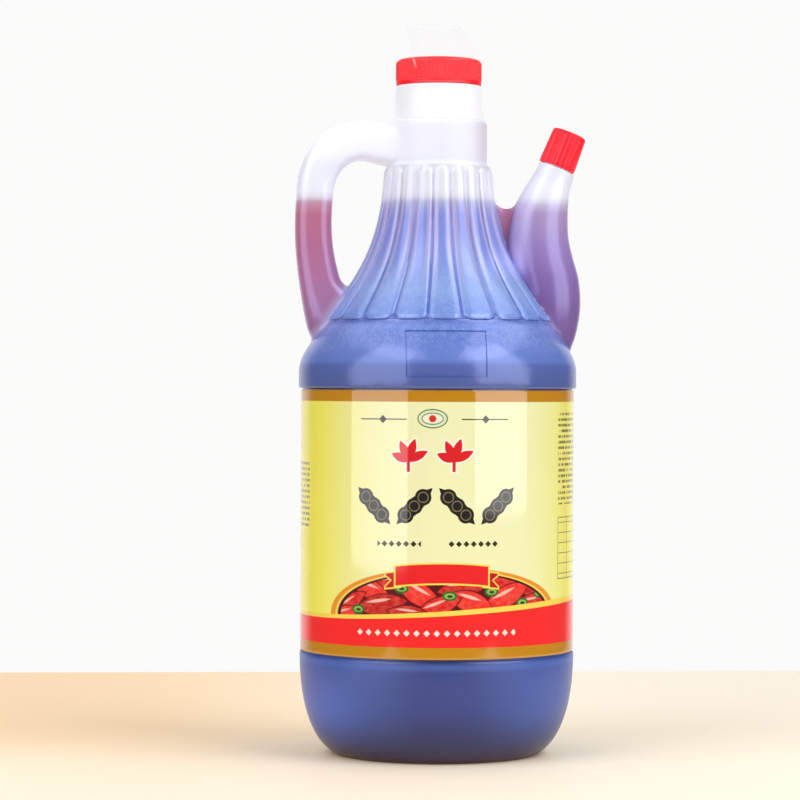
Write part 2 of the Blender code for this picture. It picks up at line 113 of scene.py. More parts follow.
ring_r = BASE_R - RING_WIDTH
slope_r = ring_r - PUSH_UP_SLOPE
jug_rows = plain([(0.0, PUSH_UP), (slope_r * 0.5, PUSH_UP - 0.1), (slope_r, PUSH_UP - PUSH_UP_DOME)])
jug_rows += plain(bezier((slope_r + 0.2, PUSH_UP - PUSH_UP_DOME), (ring_r - 1.0, 1.6),
                         (ring_r - 0.6, 0.0), (ring_r, 0.0), 7))
jug_rows += plain([(BASE_R - 1.0, 0.0)] + bezier((BASE_R, 0.0), *HEEL_PULLS[::-1], (HEEL_R, HEEL_Z), 30))
jug_rows += plain(bezier((HEEL_R, HEEL_Z + 0.1), (HEEL_R, PANEL_LOW - 0.1),
                         (PANEL_R + 0.4, PANEL_LOW), (PANEL_R, PANEL_LOW), 6))
jug_rows += plain([(PANEL_R, z) for z in np.linspace(PANEL_LOW + 1.0, PANEL_HIGH - 1.0, 12)])
jug_rows += plain(bezier((PANEL_R, PANEL_HIGH), (SHOULDER_R - 0.5, PANEL_HIGH),
                         (SHOULDER_R, PANEL_HIGH + 0.3), (SHOULDER_R, PANEL_HIGH + STEP_ROUND), 7))
jug_rows += plain(bezier((SHOULDER_R, SHOULDER_Z - 2.0), (SHOULDER_R, SHOULDER_Z - 1.5),
                         (SHOULDER_R, SHOULDER_Z - 1.0), (SHOULDER_R, SHOULDER_Z - 0.5), 3))
shoulder = bezier((SHOULDER_R, SHOULDER_Z), *SHOULDER_PULLS, SHOULDER_END, 24)
jug_rows += plain([p for p in shoulder if p[1] < FLUTE_FOOT_Z - 0.4])
jug_rows += plain([(FLUTE_FOOT_R, FLUTE_FOOT_Z)]) + flute_rows
jug_rows += plain(bezier((CREST_TOP[0] - FLUTE_PROUD - 0.1, FLUTE_TOP_Z + 0.2),
                         (BAND_R + 0.3, FLUTE_TOP_Z + 0.7),
                         (BAND_R, BAND_LOW - 0.8), (BAND_R, BAND_LOW), 7))
jug_rows += plain([(BAND_R, z) for z in np.linspace(BAND_LOW + 1.5, NECK_TOP - 2.8, 6)])
jug_rows += plain(bezier((BAND_R, NECK_TOP - 1.9), (BAND_R, NECK_TOP - 0.7),
                         (NECK_TOP_R + 0.6, NECK_TOP), (NECK_TOP_R, NECK_TOP), 8))
jug_rows += plain([(FINISH_R, NECK_TOP), (FINISH_R, FINISH_TOP), (0.0, FINISH_TOP)])


class Term:
    """A node's output; an operator used on it adds a Math node."""

    def __init__(self, bench, socket):
        self.bench = bench
        self.socket = socket

    def __add__(self, other):
        return self.bench.math("ADD", self, other)

    def __sub__(self, other):
        return self.bench.math("SUBTRACT", self, other)

    def __rsub__(self, other):
        return self.bench.math("SUBTRACT", other, self)

    def __mul__(self, other):
        return self.bench.math("MULTIPLY", self, other)

    def __truediv__(self, other):
        return self.bench.math("DIVIDE", self, other)

    def __rtruediv__(self, other):
        return self.bench.math("DIVIDE", other, self)

    def __pow__(self, other):
        return self.bench.math("POWER", self, other)

    __radd__ = __add__
    __rmul__ = __mul__

    def size(self):
        return self.bench.math("ABSOLUTE", self)

    def least(self, other):
        return self.bench.math("MINIMUM", self, other)

    def most(self, other):
        return self.bench.math("MAXIMUM", self, other)

    def above(self, other):
        return self.bench.math("GREATER_THAN", self, other)

    def root(self):
        return self.bench.math("SQRT", self)

    def part(self):
        return self.bench.math("FRACT", self)

    def floor(self):
        return self.bench.math("FLOOR", self)

    def rise(self, low, high):
        """Goes smoothly from 0 at low to 1 at high."""
        return self.bench.add("ShaderNodeMapRange", {"interpolation_type": "SMOOTHSTEP"},
                              {0: self, 1: low, 2: high})


class Bench:
    """One node tree, and the ways that nodes are added to it."""

    def __init__(self, tree):
        self.tree = tree

    def add(self, kind, settings=(), sockets=(), output=0):
        """Adds a node: first its settings, then the values or links of its sockets."""
        node = self.tree.nodes.new(kind)
        for name, value in dict(settings).items():
            if name == "stops":
                ramp = node.color_ramp.elements
                ramp[1].position, ramp[1].color = value[-1]
                ramp[0].position, ramp[0].color = value[0]
                for place, colour in value[1:-1]:
                    ramp.new(place).color = colour
            else:
                setattr(node, name, value)
        for name, value in dict(sockets).items():
            if isinstance(value, Term):
                self.tree.links.new(value.socket, node.inputs[name])
            else:
                node.inputs[name].default_value = value
        return Term(self, node.outputs[output])

    def math(self, operation, *values):
        return self.add("ShaderNodeMath", {"operation": operation}, dict(enumerate(values)))

    def split(self, vector):
        """The X, Y and Z of a vector."""
        first = self.add("ShaderNodeSeparateXYZ", {}, {0: vector})
        return [Term(self, output) for output in first.socket.node.outputs]

    def blend(self, factor, one, two, how="MIX"):
        """Colour one where the factor is 0 and colour two, or their product, where it is 1."""
        return self.add("ShaderNodeMix", {"data_type": "RGBA", "blend_type": how},
                        {0: factor, 6: one, 7: two}, 2)


# The shape of a turned piece without flutes; lengths in millimetres.
SMOOTH = {"Flutes": 24, "Steps per flute": 8, "Crowding at grooves": 0.0, "Flute height": 0.0,
          "Groove half width": 0.0, "Edge width": 1.0, "Flute length": 1.0, "Foot lip": 0.0,
          "Foot sharpness": 1.0, "Foot corner": 0.0}
BARE_NUMBERS = ("Flutes", "Steps per flute", "Crowding at grooves", "Foot sharpness")


def turning_tree():
    """Geometry Nodes that turn a row of points about Z, with flutes or ribs round it.

    The mesh they work on is the outline: a point's X is the radius and its
    "along" is how far up a flute it lies, or below 0 where there is none.
    """
    tree = bpy.data.node_groups.new("Turned with flutes", "GeometryNodeTree")
    tree.interface.new_socket("Geometry", in_out="INPUT", socket_type="NodeSocketGeometry")
    for name, value in SMOOTH.items():
        kind = "NodeSocketInt" if isinstance(value, int) else "NodeSocketFloat"
        tree.interface.new_socket(name, in_out="INPUT", socket_type=kind)
    tree.interface.new_socket("Material", in_out="INPUT", socket_type="NodeSocketMaterial")
    tree.interface.new_socket("Geometry", in_out="OUTPUT", socket_type="NodeSocketGeometry")
    bench = Bench(tree)
    inputs = bench.add("NodeGroupInput").socket.node.outputs
    outline, material = Term(bench, inputs["Geometry"]), Term(bench, inputs["Material"])
    (flutes, steps, crowding, high, groove, edge, length, lip, sharpness,
     corner) = [Term(bench, inputs[name]) for name in SMOOTH]

    rows = bench.add("GeometryNodeAttributeDomainSize", {"component": "MESH"}, {0: outline})
    columns = flutes * steps
    grid = bench.add("GeometryNodeMeshGrid", {}, {
        "Size X": columns, "Size Y": rows - 1, "Vertices X": columns + 1, "Vertices Y": rows})
    place = bench.add("GeometryNodeInputPosition")
    x, y, _ = bench.split(place)
    row = (y + (rows - 1) * 0.5 + 0.25).floor()
    point = bench.add("GeometryNodeSampleIndex", {"data_type": "FLOAT_VECTOR"},
                      {"Geometry": outline, "Value": place, "Index": row})
    named = bench.add("GeometryNodeInputNamedAttribute", {"data_type": "FLOAT"}, {"Name": "along"})
    along = bench.add("GeometryNodeSampleIndex", {"data_type": "FLOAT"},
                      {"Geometry": outline, "Value": named, "Index": row})
    radius, _, z = bench.split(point)

    nudge = 0.001
    turn = (x + columns * 0.5) / steps + nudge
    step = turn.part() - nudge
    whole_turn = 2.0 * math.pi
    step = step - crowding * bench.math("SINE", step * whole_turn) / whole_turn
    angle = (turn.floor() + step - 0.5) / flutes * whole_turn - math.pi / 2.0

    half = radius * math.pi / flutes
    across = ((step - 0.5) * 2.0 * half).size()
    inner = half - groove
    over = (along - length + inner).most(0.0)
    side = inner - (across ** 2.0 + over ** 2.0).root()
    foot = (along + lip) * sharpness
    near_side, near_foot = (corner - side).most(0.0), (corner - foot).most(0.0)
    cut_corner = (near_side ** 2.0 + near_foot ** 2.0).root() - near_side.most(near_foot)
    distance = side.least(foot) - cut_corner
    rounded = 1.0 - (distance / edge).most(0.0).least(1.0)
    height = high * (1.0 - rounded ** 2.0).root()
    radius = radius - (high - height) * (along + lip).above(0.0)
    where = bench.add("ShaderNodeCombineXYZ", {}, {
        0: radius * bench.math("COSINE", angle), 1: radius * bench.math("SINE", angle), 2: z})
    shape = bench.add("GeometryNodeSetPosition", {}, {"Geometry": grid, "Position": where})
    shape = bench.add("GeometryNodeMergeByDistance", {}, {"Geometry": shape, "Distance": 0.00001})
    shape = bench.add("GeometryNodeSetShadeSmooth", {}, {"Geometry": shape})
    shape = bench.add("GeometryNodeRealizeInstances", {}, {0: shape})
    shape = bench.add("GeometryNodeSetMaterial", {}, {"Geometry": shape, "Material": material})
    tree.links.new(shape.socket, tree.nodes.new("NodeGroupOutput").inputs[0])
    return tree


def make_plain(item):
    """Replaces an object's modifiers by the mesh that they make."""
    graph = bpy.context.evaluated_depsgraph_get()
    mesh = bpy.data.meshes.new_from_object(item.evaluated_get(graph))
    item.modifiers.clear()
    item.data = mesh


def shown(name, mesh):
    """A new object in the scene, for a mesh, a lamp or a camera."""
    item = bpy.data.objects.new(name, mesh)
    bpy.context.scene.collection.objects.link(item)
    return item


turning = turning_tree()


def turned(name, rows, material, shape=SMOOTH):
    """A piece turned from rows of (radius, height, distance up a flute)."""
    mesh = bpy.data.meshes.new(name)
    mesh.from_pydata([(r * MM, 0.0, z * MM) for r, z, _ in rows],
                     [(i, i + 1) for i in range(len(rows) - 1)], [])
    along = mesh.attributes.new("along", "FLOAT", "POINT")
    along.data.foreach_set("value", [a * MM if a >= 0.0 else -1.0 for _, _, a in rows])
    item = shown(name, mesh)
    modifier = item.modifiers.new("Turn", "NODES")
    modifier.node_group = turning
    values = {n: v if n in BARE_NUMBERS else v * MM for n, v in (SMOOTH | shape).items()}
    values["Material"] = material
    for socket in turning.interface.items_tree:
        if socket.name in values:
            modifier[socket.identifier] = values[socket.name]
    make_plain(item)
    item.data.materials.clear()
    item.data.materials.append(material)
    item.data.polygons.foreach_set("material_index", [0] * len(item.data.polygons))
    turn_outwards(item.data)
    return item


def turn_outwards(mesh):
    """Points all faces of a closed mesh outwards."""
    work = bmesh.new()
    work.from_mesh(mesh)
    bmesh.ops.recalc_face_normals(work, faces=work.faces)
    work.to_mesh(mesh)
    work.free()


def join_shapes(item, operation, operands):
    """Boolean of an object with several others, which are then removed."""
    group = bpy.data.collections.new("operands")
    for operand in operands:
        group.objects.link(operand)
    modifier = item.modifiers.new(operation, "BOOLEAN")
    modifier.operation = operation
    modifier.solver = "MANIFOLD"
    modifier.material_mode = "TRANSFER"
    modifier.operand_type = "COLLECTION"
    modifier.collection = group
    make_plain(item)
    for operand in operands:
        bpy.data.objects.remove(operand, do_unlink=True)
    bpy.data.collections.remove(group)


# Handle and spout: two opposite edges of each cross-section as X, Z, X, Z, and
# its half depth along Y. The handle's section is a rounded square.
HANDLE = (
    (-9.3, 198.4, -11.7, 184.8, 7.7),
    (-16.5, 199.5, -18.5, 186.1, 7.6),
    (-25.6, 200.0, -24.4, 187.4, 7.1),
    (-34.3, 197.4, -28.1, 186.4, 7.0),
    (-40.8, 191.5, -30.8, 184.1, 7.0),
    (-44.3, 183.6, -32.7, 180.2, 6.8),
    (-45.2, 174.4, -33.6, 173.6, 6.6),
    (-45.3, 160.5, -33.5, 161.5, 6.6),
    (-44.4, 151.3, -32.0, 153.3, 7.0),
    (-43.5, 145.0, -30.6, 149.2, 7.5),
    (-42.6, 139.8, -28.0, 147.0, 8.2),
    (-41.3, 134.0, -24.8, 145.7, 8.8),
    (-38.4, 126.9, -21.0, 144.6, 8.8),
)
HANDLE_POWER = 2.9
SPOUT = (
    (32.3, 187.5, 43.3, 183.1, 5.9),
    (30.4, 184.0, 42.2, 179.2, 6.1),
    (27.5, 179.4, 41.5, 174.6, 7.0),
    (23.9, 172.4, 41.3, 168.8, 8.3),
    (22.0, 163.2, 41.6, 163.2, 9.1),
    (22.5, 153.9, 42.9, 157.3, 9.6),
    (23.5, 146.8, 44.9, 149.8, 9.9),
    (24.0, 142.1, 45.4, 141.7, 9.9),
    (23.6, 137.6, 44.2, 133.4, 9.6),
    (22.9, 133.1, 41.1, 124.9, 9.0),
    (21.3, 128.6, 36.7, 119.4, 8.1),
)
SPOUT_POWER = 2.0


def through(stations, count):
    """Evenly spaced rows on a smooth curve through the stations."""
    nodes = np.array(stations, float)
    middle = (nodes[:, 0:2] + nodes[:, 2:4]) / 2.0
    along = np.append(0.0, np.cumsum(np.hypot(*np.diff(middle, axis=0).T)))
    slopes = np.gradient(nodes, along, axis=0)
    result = []
    for s in np.linspace(0.0, along[-1], count):
        k = min(int(np.searchsorted(along, s, side="right")) - 1, len(nodes) - 2)
        span = along[k + 1] - along[k]
        t = (s - along[k]) / span
        result.append((2 * t ** 3 - 3 * t ** 2 + 1) * nodes[k]
                      + (t ** 3 - 2 * t ** 2 + t) * span * slopes[k]
                      + (3 * t ** 2 - 2 * t ** 3) * nodes[k + 1]
                      + (t ** 3 - t ** 2) * span * slopes[k + 1])
    return result


def lofted(name, rings, closed=True):
    """A skin over rings of points in millimetres."""
    mesh = bpy.data.meshes.new(name)
    work = bmesh.new()
    loops = [[work.verts.new(Vector(p) * MM) for p in ring] for ring in rings]
    for low, high in zip(loops, loops[1:]):
        for i in range(len(low)):
            j = (i + 1) % len(low)
            work.faces.new((low[i], low[j], high[j], high[i])).smooth = True
    if closed:
        work.faces.new(loops[0][::-1])
        work.faces.new(loops[-1])
        bmesh.ops.recalc_face_normals(work, faces=work.faces)
    work.to_mesh(mesh)
    work.free()
    return shown(name, mesh)


def arm(name, stations, power, inset, sections, sides):
    """Handle or spout, its whole skin moved in by inset."""
    rings = []
    for x1, z1, x2, z2, depth in through(stations, sections):
        reach = np.array((x1 - x2, z1 - z2)) / 2.0
        middle = np.array((x1 + x2, z1 + z2)) / 2.0
        reach *= 1.0 - inset / np.hypot(*reach)
        ring = []
        for angle in np.arange(sides) * 2.0 * math.pi / sides:
            a = math.copysign(abs(math.cos(angle)) ** (2.0 / power), math.cos(angle))
            b = math.copysign(abs(math.sin(angle)) ** (2.0 / power), math.sin(angle))
            x, z = middle + reach * a
            ring.append((x, (depth - inset) * b, z))
        rings.append(ring)
    return lofted(name, rings)


# A thin web joins the spout to the cone; its top edge is hollowed round.
WEB_THICK = 3.6
WEB_FOOT, WEB_INNER, WEB_OUTER = 158.0, 14.5, 30.0
WEB_NOTCH_X, WEB_NOTCH_Z, WEB_NOTCH_R = 21.6, 176.4, 3.9


def web():
    rings = []
    half = WEB_THICK / 2.0
    for y, low in ((-half, 0.9), (-half + 0.5, 0.25), (-half + 1.0, 0.0), (half - 1.0, 0.0),
                   (half - 0.5, 0.25), (half, 0.9)):
        ring = [(WEB_INNER, y, WEB_FOOT), (WEB_INNER, y, WEB_NOTCH_Z)]
        for angle in np.radians(np.linspace(180.0, 320.0, 18)):
            reach = WEB_NOTCH_R + low
            ring.append((WEB_NOTCH_X + reach * math.cos(angle), y, WEB_NOTCH_Z + reach * math.sin(angle)))
        ring += [(WEB_OUTER, y, ring[-1][2]), (WEB_OUTER, y, WEB_FOOT)]
        rings.append(ring)
    return lofted("web", rings)


# Bare sunk panel on the front of the shoulder.
BADGE_HALF_WIDTH, BADGE_LOW, BADGE_HIGH, BADGE_SINK = 12.4, 118.9, 133.2, 0.4


def badge():
    curve = [(SHOULDER_R, BADGE_LOW - 1.0)] + shoulder
    radii, heights = zip(*curve)
    rings = []
    for x in np.linspace(-BADGE_HALF_WIDTH, BADGE_HALF_WIDTH, 40):
        ring = []
        for z in np.linspace(BADGE_LOW, BADGE_HIGH, 28):
            radius = np.interp(z, heights, radii) - BADGE_SINK
            ring.append((x, -math.sqrt(radius ** 2 - x ** 2), z))
        ring += [(x, -SHOULDER_R - 3.0, BADGE_HIGH), (x, -SHOULDER_R - 3.0, BADGE_LOW)]
        rings.append(ring)
    return lofted("badge", rings)


def soften_joints(mesh, reach, rounds):
    """Rounds the creases where a second material starts, and then gives all faces the first."""
    work = bmesh.new()
    work.from_mesh(mesh)
    bmesh.ops.remove_doubles(work, verts=work.verts, dist=0.00002)
    seam = [v for e in work.edges if len({f.material_index for f in e.link_faces}) > 1 for v in e.verts]
    near = set(seam)
    for _ in range(reach):
        near |= {e.other_vert(v) for v in near for e in v.link_edges}
    near = list(near)
    for _ in range(rounds):
        bmesh.ops.smooth_vert(work, verts=near, factor=0.5, use_axis_x=True,
                              use_axis_y=True, use_axis_z=True)
    for face in work.faces:
        face.material_index = 0
        face.smooth = True
    work.to_mesh(mesh)
    work.free()
    while len(mesh.materials) > 1:
        mesh.materials.pop()


def body_outline(inset, cone_inset):
    """Rows of the round body without its flutes, moved in from the outside."""
    outline = bezier((BASE_R, 0.0), *HEEL_PULLS[::-1], (HEEL_R, HEEL_Z), 20)[1:]
    outline += [(PANEL_R, PANEL_LOW + 2.0), (PANEL_R, PANEL_HIGH - 1.0), (SHOULDER_R, PANEL_HIGH + 2.0)]
    outline += shoulder[:-3]
    points = np.array(outline)
    along = np.gradient(points, axis=0)
    across = np.stack((-along[:, 1], along[:, 0]), axis=1)
    points += across / np.hypot(*across.T)[:, None] * inset
    cone = [(r - cone_inset, z) for r, z in crest_curve[4::5]]
    low = [(0.0, PUSH_UP + inset), (slope_r, PUSH_UP - PUSH_UP_DOME + inset),
           (ring_r + inset, inset), (BASE_R - inset, inset)]
    top = [(BAND_R - inset, BAND_LOW), (BAND_R - inset, NECK_TOP - inset), (0.0, NECK_TOP - inset)]
    return plain(low + [tuple(p) for p in points] + cone + top)


SPOUT_END = Vector((37.8, 0.0, 185.3))
SPOUT_TILT = math.radians(21.7)
SPOUT_FINISH_R, SPOUT_FINISH_LENGTH = 4.6, 8.5
spout_line = Matrix.Translation(SPOUT_END * MM) @ Matrix.Rotation(SPOUT_TILT, 4, "Y")

milky = bpy.data.materials.new("milky_wall")
moulded_on = bpy.data.materials.new("moulded_on")
jug = turned("jug", jug_rows, milky, FLUTE_SHAPE)
spout_finish = turned("spout_finish", plain([(0.0, -1.0), (SPOUT_FINISH_R, -1.0),
                      (SPOUT_FINISH_R, SPOUT_FINISH_LENGTH), (0.0, SPOUT_FINISH_LENGTH)]), moulded_on)
spout_finish.data.transform(spout_line)
arms = [arm("handle", HANDLE, HANDLE_POWER, 0.0, 96, 48), arm("spout", SPOUT, SPOUT_POWER, 0.0, 72, 56),
        web()]
for piece in arms:
    piece.data.materials.append(moulded_on)
join_shapes(jug, "UNION", arms + [spout_finish])
soften_joints(jug.data, 3, 6)
join_shapes(jug, "DIFFERENCE", [badge()])

hollow = turned("hollow", body_outline(WALL, FLUTE_PROUD + WALL), milky)
join_shapes(hollow, "UNION", [arm("handle", HANDLE, HANDLE_POWER, WALL, 48, 24),
                              arm("spout", SPOUT, SPOUT_POWER, WALL, 36, 28)])
hollow.data.flip_normals()
wall = bmesh.new()
wall.from_mesh(jug.data)
wall.from_mesh(hollow.data)
wall.to_mesh(jug.data)
wall.free()
bpy.data.objects.remove(hollow, do_unlink=True)
jug.data.set_sharp_from_angle(angle=math.radians(42.0))

# How far each point stands outside the round body, how far it is from the middle
# of its flute, and how deep it lies in a groove.
points = np.array([v.co for v in jug.data.vertices]) / MM
reach = np.hypot(points[:, 0], points[:, 1])
outer = sorted({(z, r) for r, z, _ in jug_rows if z > 1.0})
body_reach = np.interp(points[:, 2], *zip(*outer))
on_cone = (points[:, 2] > FLUTE_FOOT_Z) & (points[:, 2] < FLUTE_TOP_Z)
flute_turn = np.arctan2(points[:, 1], points[:, 0]) / (2.0 * math.pi) * FLUTES + 0.5
for name, values in (("beyond", reach - body_reach), ("off middle", np.abs(flute_turn % 1.0 - 0.5) * 2.0),
                     ("groove", np.clip((body_reach - reach) / FLUTE_PROUD, 0.0, 1.0) * on_cone)):
    attribute = jug.data.attributes.new(name, "FLOAT", "POINT")
    attribute.data.foreach_set("value", values.astype(np.float32))


def paint(red, green, blue):
    """A colour on the usual 0 to 255 scale as Blender's linear one."""
    linear = [((c / 255.0 + 0.055) / 1.055) ** 2.4 if c > 10 else c / 255.0 / 12.92
              for c in (red, green, blue)]
    return (*linear, 1.0)


def finish(material, **values):
    """The node bench of a material and its shader's node, with its plain values set."""
    material.use_nodes = True
    shader = material.node_tree.nodes["Principled BSDF"]
    for name, value in values.items():
        shader.inputs[name.replace("_", " ")].default_value = value
    return Bench(material.node_tree), shader


def feed(bench, shader, **terms):
    for name, term in terms.items():
        bench.tree.links.new(term.socket, shader.inputs[name.replace("_", " ")])


def ramp(bench, value, low, high, stops):
    """Colours laid out along a value; each stop is the value and a colour."""
    laid = [((v - low) / (high - low), paint(*colour)) for v, colour in stops]
    return bench.add("ShaderNodeValToRGB", {"stops": laid}, {0: (value - low) / (high - low)})


def places(bench):
    """X, Y and Z in millimetres, and the vector that textures read."""
    vector = bench.add("ShaderNodeTexCoord", {}, {}, "Object")
    x, y, z = bench.split(vector)
    return x * 1000.0, y * 1000.0, z * 1000.0, vector


def noise(bench, vector, scale, detail=2.0, roughness=0.5):
    return bench.add("ShaderNodeTexNoise", {}, {
        "Vector": vector, "Scale": scale, "Detail": detail, "Roughness": roughness})


# Sauce seen through the wall, by height. Some stops are painted light: a painted highlight on the heel's top
# edge at 30.6, painted shade in the step under the label at 32.2, and on the shoulder painted shade below its
# bend and a painted highlight at 123.8.
BODY_TINTS_AND_PAINTED_LIGHT = ((0, (66, 22, 38)), (2.5, (40, 24, 58)), (8, (22, 26, 84)), (18, (26, 49, 130)),
              (29, (38, 54, 132)), (30.6, (66, 96, 176)), (31.4, (58, 80, 156)), (32.2, (40, 44, 96)),
              (117, (91, 106, 172)), (122.6, (93, 113, 188)), (123.8, (109, 134, 211)),
              (132, (103, 129, 212)), (136, (114, 145, 226)), (146, (142, 173, 234)),
              (158.4, (145, 161, 228)), (165, (148, 156, 226)), (169.6, (158, 160, 224)),
              (172.2, (170, 170, 218)), (173.9, (184, 188, 220)), (174.6, (212, 212, 232)),
              (175.4, (232, 231, 241)), (177.5, (241, 242, 252)), (200, (248, 248, 253)))
HANDLE_TINTS = ((126, (146, 108, 162)), (142, (174, 122, 170)), (150, (184, 122, 166)),
                (160, (188, 116, 156)), (170, (194, 118, 146)), (172.9, (196, 136, 160)),
                (174.1, (196, 160, 178)), (174.9, (216, 200, 214)), (175.8, (232, 226, 236)),
                (177.5, (240, 241, 253)), (200, (246, 247, 255)))
SPOUT_TINTS = ((124, (134, 104, 164)), (140, (138, 106, 170)), (150, (148, 116, 186)),
               (160, (163, 138, 202)), (168, (180, 154, 207)), (171, (182, 158, 204)),
               (173.2, (198, 186, 216)), (174.6, (222, 218, 234)), (176, (240, 240, 250)),
               (178, (243, 244, 254)), (200, (246, 247, 255)))
# Painted shade in the grooves of the flutes, by height.
GROOVE_PAINTED_SHADE = ((137, (198, 192, 224)), (150, (210, 206, 232)), (158, (232, 220, 236)),
                 (168, (252, 236, 246)), (174, (250, 242, 248)), (177, (252, 250, 252)),
                 (200, (252, 250, 252)))

bench, shader = finish(milky, IOR=2.0, Specular_Tint=paint(202, 208, 255), Emission_Strength=1.0)
x, y, z, where = places(bench)
beyond, groove, off_middle = [bench.add("ShaderNodeAttribute", {"attribute_name": name}, {}, "Fac")
                              for name in ("beyond", "groove", "off middle")]
on_arm = beyond.rise(0.0, 0.6) * z.rise(60.0, 90.0)
sideways = x / (x * x + y * y + 1.0).root()
side = sideways.size()

# Sauce behind the body's wall, by height: frosted over the cone, with painted light making the sides of
# heel and shoulder paler, and painted shade at the neck's right edge.
body_tint = ramp(bench, z, 0.0, 200.0, BODY_TINTS_AND_PAINTED_LIGHT)
frost = noise(bench, where, 1500.0, 3.0, 0.7).rise(0.46, 0.7)
frosted = z.rise(122.0, 135.0) * z.rise(172.0, 145.0) * frost * 0.3
body_tint = bench.blend(frosted, body_tint, paint(190, 212, 248))
painted_light_heel_sides = side.rise(0.15, 0.8) * z.rise(1.0, 18.0) * z.rise(44.0, 34.0) * 0.44
body_tint = bench.blend(painted_light_heel_sides, body_tint, paint(72, 112, 208))
painted_light_shoulder_sides = side.rise(0.5, 0.9) * z.rise(125.0, 128.0) * z.rise(137.0, 135.0) * 0.25
body_tint = bench.blend(painted_light_shoulder_sides, body_tint, paint(146, 162, 232))
painted_shade_neck_edge = sideways.rise(0.6, 0.95) * z.rise(182.0, 188.0)
body_tint = bench.blend(painted_shade_neck_edge, body_tint, paint(236, 234, 238), "MULTIPLY")

# Painted shade along the step round the sunk panel, and clouds in the wall.
painted_step_shade = (x.size() - BADGE_HALF_WIDTH).most((z - (BADGE_LOW + BADGE_HIGH) / 2.0).size()
                                              - (BADGE_HIGH - BADGE_LOW) / 2.0)
painted_step_shade = (painted_step_shade + 0.12).size().rise(0.42, 0.12) * y.rise(-20.0, -21.0)
body_tint = bench.blend(painted_step_shade, body_tint, paint(236, 239, 246), "MULTIPLY")
cloud = noise(bench, where, 420.0, 3.0, 0.6).rise(0.42, 0.66)
cloudy = z.rise(124.0, 131.0) * z.rise(160.0, 146.0) * cloud * 0.12
body_tint = bench.blend(cloudy, body_tint, paint(186, 210, 250))

# Flutes: a painted shadow below their feet and a painted highlight on them, painted shade in the grooves,
# painted shade in deep blue along their middle and painted highlights in lilac on both flanks.
painted_shadow_under_feet = z.rise(134.6, 136.0) * z.rise(137.2, 136.8)
body_tint = bench.blend(painted_shadow_under_feet, body_tint, paint(226, 224, 236), "MULTIPLY")
painted_highlight_on_feet = z.rise(137.0, 137.5) * z.rise(138.6, 138.1) * groove.rise(0.5, 0.1)
body_tint = bench.blend(painted_highlight_on_feet * 0.04, body_tint, paint(222, 232, 255))
middle = off_middle.rise(0.6, 0.1) * z.rise(146.0, 162.0) * z.rise(174.0, 168.0) * 0.55
body_tint = bench.blend(middle, body_tint, paint(132, 150, 240))
painted_highlight_on_flanks = off_middle.rise(0.3, 0.55) * off_middle.rise(0.95, 0.75) * z.rise(140.0, 160.0) * z.rise(176.0, 170.0)
body_tint = bench.blend(painted_highlight_on_flanks * 0.42, body_tint, paint(220, 206, 244))
painted_groove_shade = ramp(bench, z, 120.0, 200.0, GROOVE_PAINTED_SHADE)
body_tint = bench.blend(groove.rise(0.45, 0.9), body_tint, painted_groove_shade, "MULTIPLY")

# The thin branches: a painted highlight in lilac where the spout nears the cone, redder sauce at its edges
# and in the web, and violet where the handle joins the body.
arm_tint = bench.blend(x.above(0.0), ramp(bench, z, 120.0, 200.0, HANDLE_TINTS),
                       ramp(bench, z, 120.0, 200.0, SPOUT_TINTS))
painted_light_by_cone = (beyond - (z - 152.0) * 0.42).size().rise(4.5, 1.0) * x.rise(12.0, 16.0)
painted_light_by_cone = painted_light_by_cone * z.rise(148.0, 155.0) * z.rise(178.0, 170.0)
arm_tint = bench.blend(painted_light_by_cone * 0.7, arm_tint, paint(212, 196, 234))
spout_edge = y.size().rise(4.5, 1.0) * x.above(0.0) * z.rise(150.0, 165.0) * z.rise(177.0, 172.0)
arm_tint = bench.blend(spout_edge * 0.5, arm_tint, paint(188, 104, 142))
low_joint = x.rise(0.0, -5.0) * beyond.rise(4.5, 0.5) * z.rise(153.0, 147.0)
arm_tint = bench.blend(low_joint * 0.8, arm_tint, paint(188, 176, 218))
in_web = x.rise(13.0, 15.0) * x.rise(25.0, 22.0) * y.size().rise(2.6, 1.9)
in_web = in_web * z.rise(160.0, 168.0) * z.rise(190.0, 184.0)
arm_tint = bench.blend(in_web, arm_tint, paint(194, 122, 160))
tint = bench.blend(on_arm, body_tint, arm_tint)
# Painted shade in the crease where the branches meet the body.
painted_crease_light = beyond.rise(0.06, 0.3) * beyond.rise(1.5, 0.6) * z.rise(170.0, 160.0)
tint = bench.blend(painted_crease_light, tint, paint(244, 238, 250), "MULTIPLY")

# A painted glow for light coming through from behind, in the branches, the neck and the left side of the
# heel, and a skin with a faint swell, a fine grain on the shoulder and the mould's parting line. The wall is
# a little clearer below the level, so that the sauce shows.
painted_glow = on_arm * (x.rise(5.0, -5.0) * 0.06 + 0.04) + painted_light_by_cone * (z.rise(165.0, 156.0) * 0.24 + 0.04)
painted_glow = painted_glow + z.rise(185.0, 190.0) * (x.rise(6.0, -14.0) * 0.08 + 0.01)
painted_glow = painted_glow + side.rise(0.5, 0.9) * x.rise(0.0, -20.0) * z.rise(32.0, 12.0) * z.rise(1.5, 6.0) * 0.35
painted_glow = bench.add("ShaderNodeVectorMath", {"operation": "SCALE"}, {0: tint, 3: painted_glow})
parting = y.size().rise(0.35, 0.05) * on_arm.most(z.rise(1.0, 0.5))
swell = noise(bench, where, 160.0)
grain = noise(bench, where, 1400.0)
relief = swell * 0.4 + grain * 0.05 * z.rise(118.0, 134.0) + parting * 0.12
bump = bench.add("ShaderNodeBump", {}, {"Strength": 1.0, "Distance": 0.0003, "Height": relief})
clarity = z.rise(LEVEL - 2.0, LEVEL - 6.0) * 0.08 + 0.02
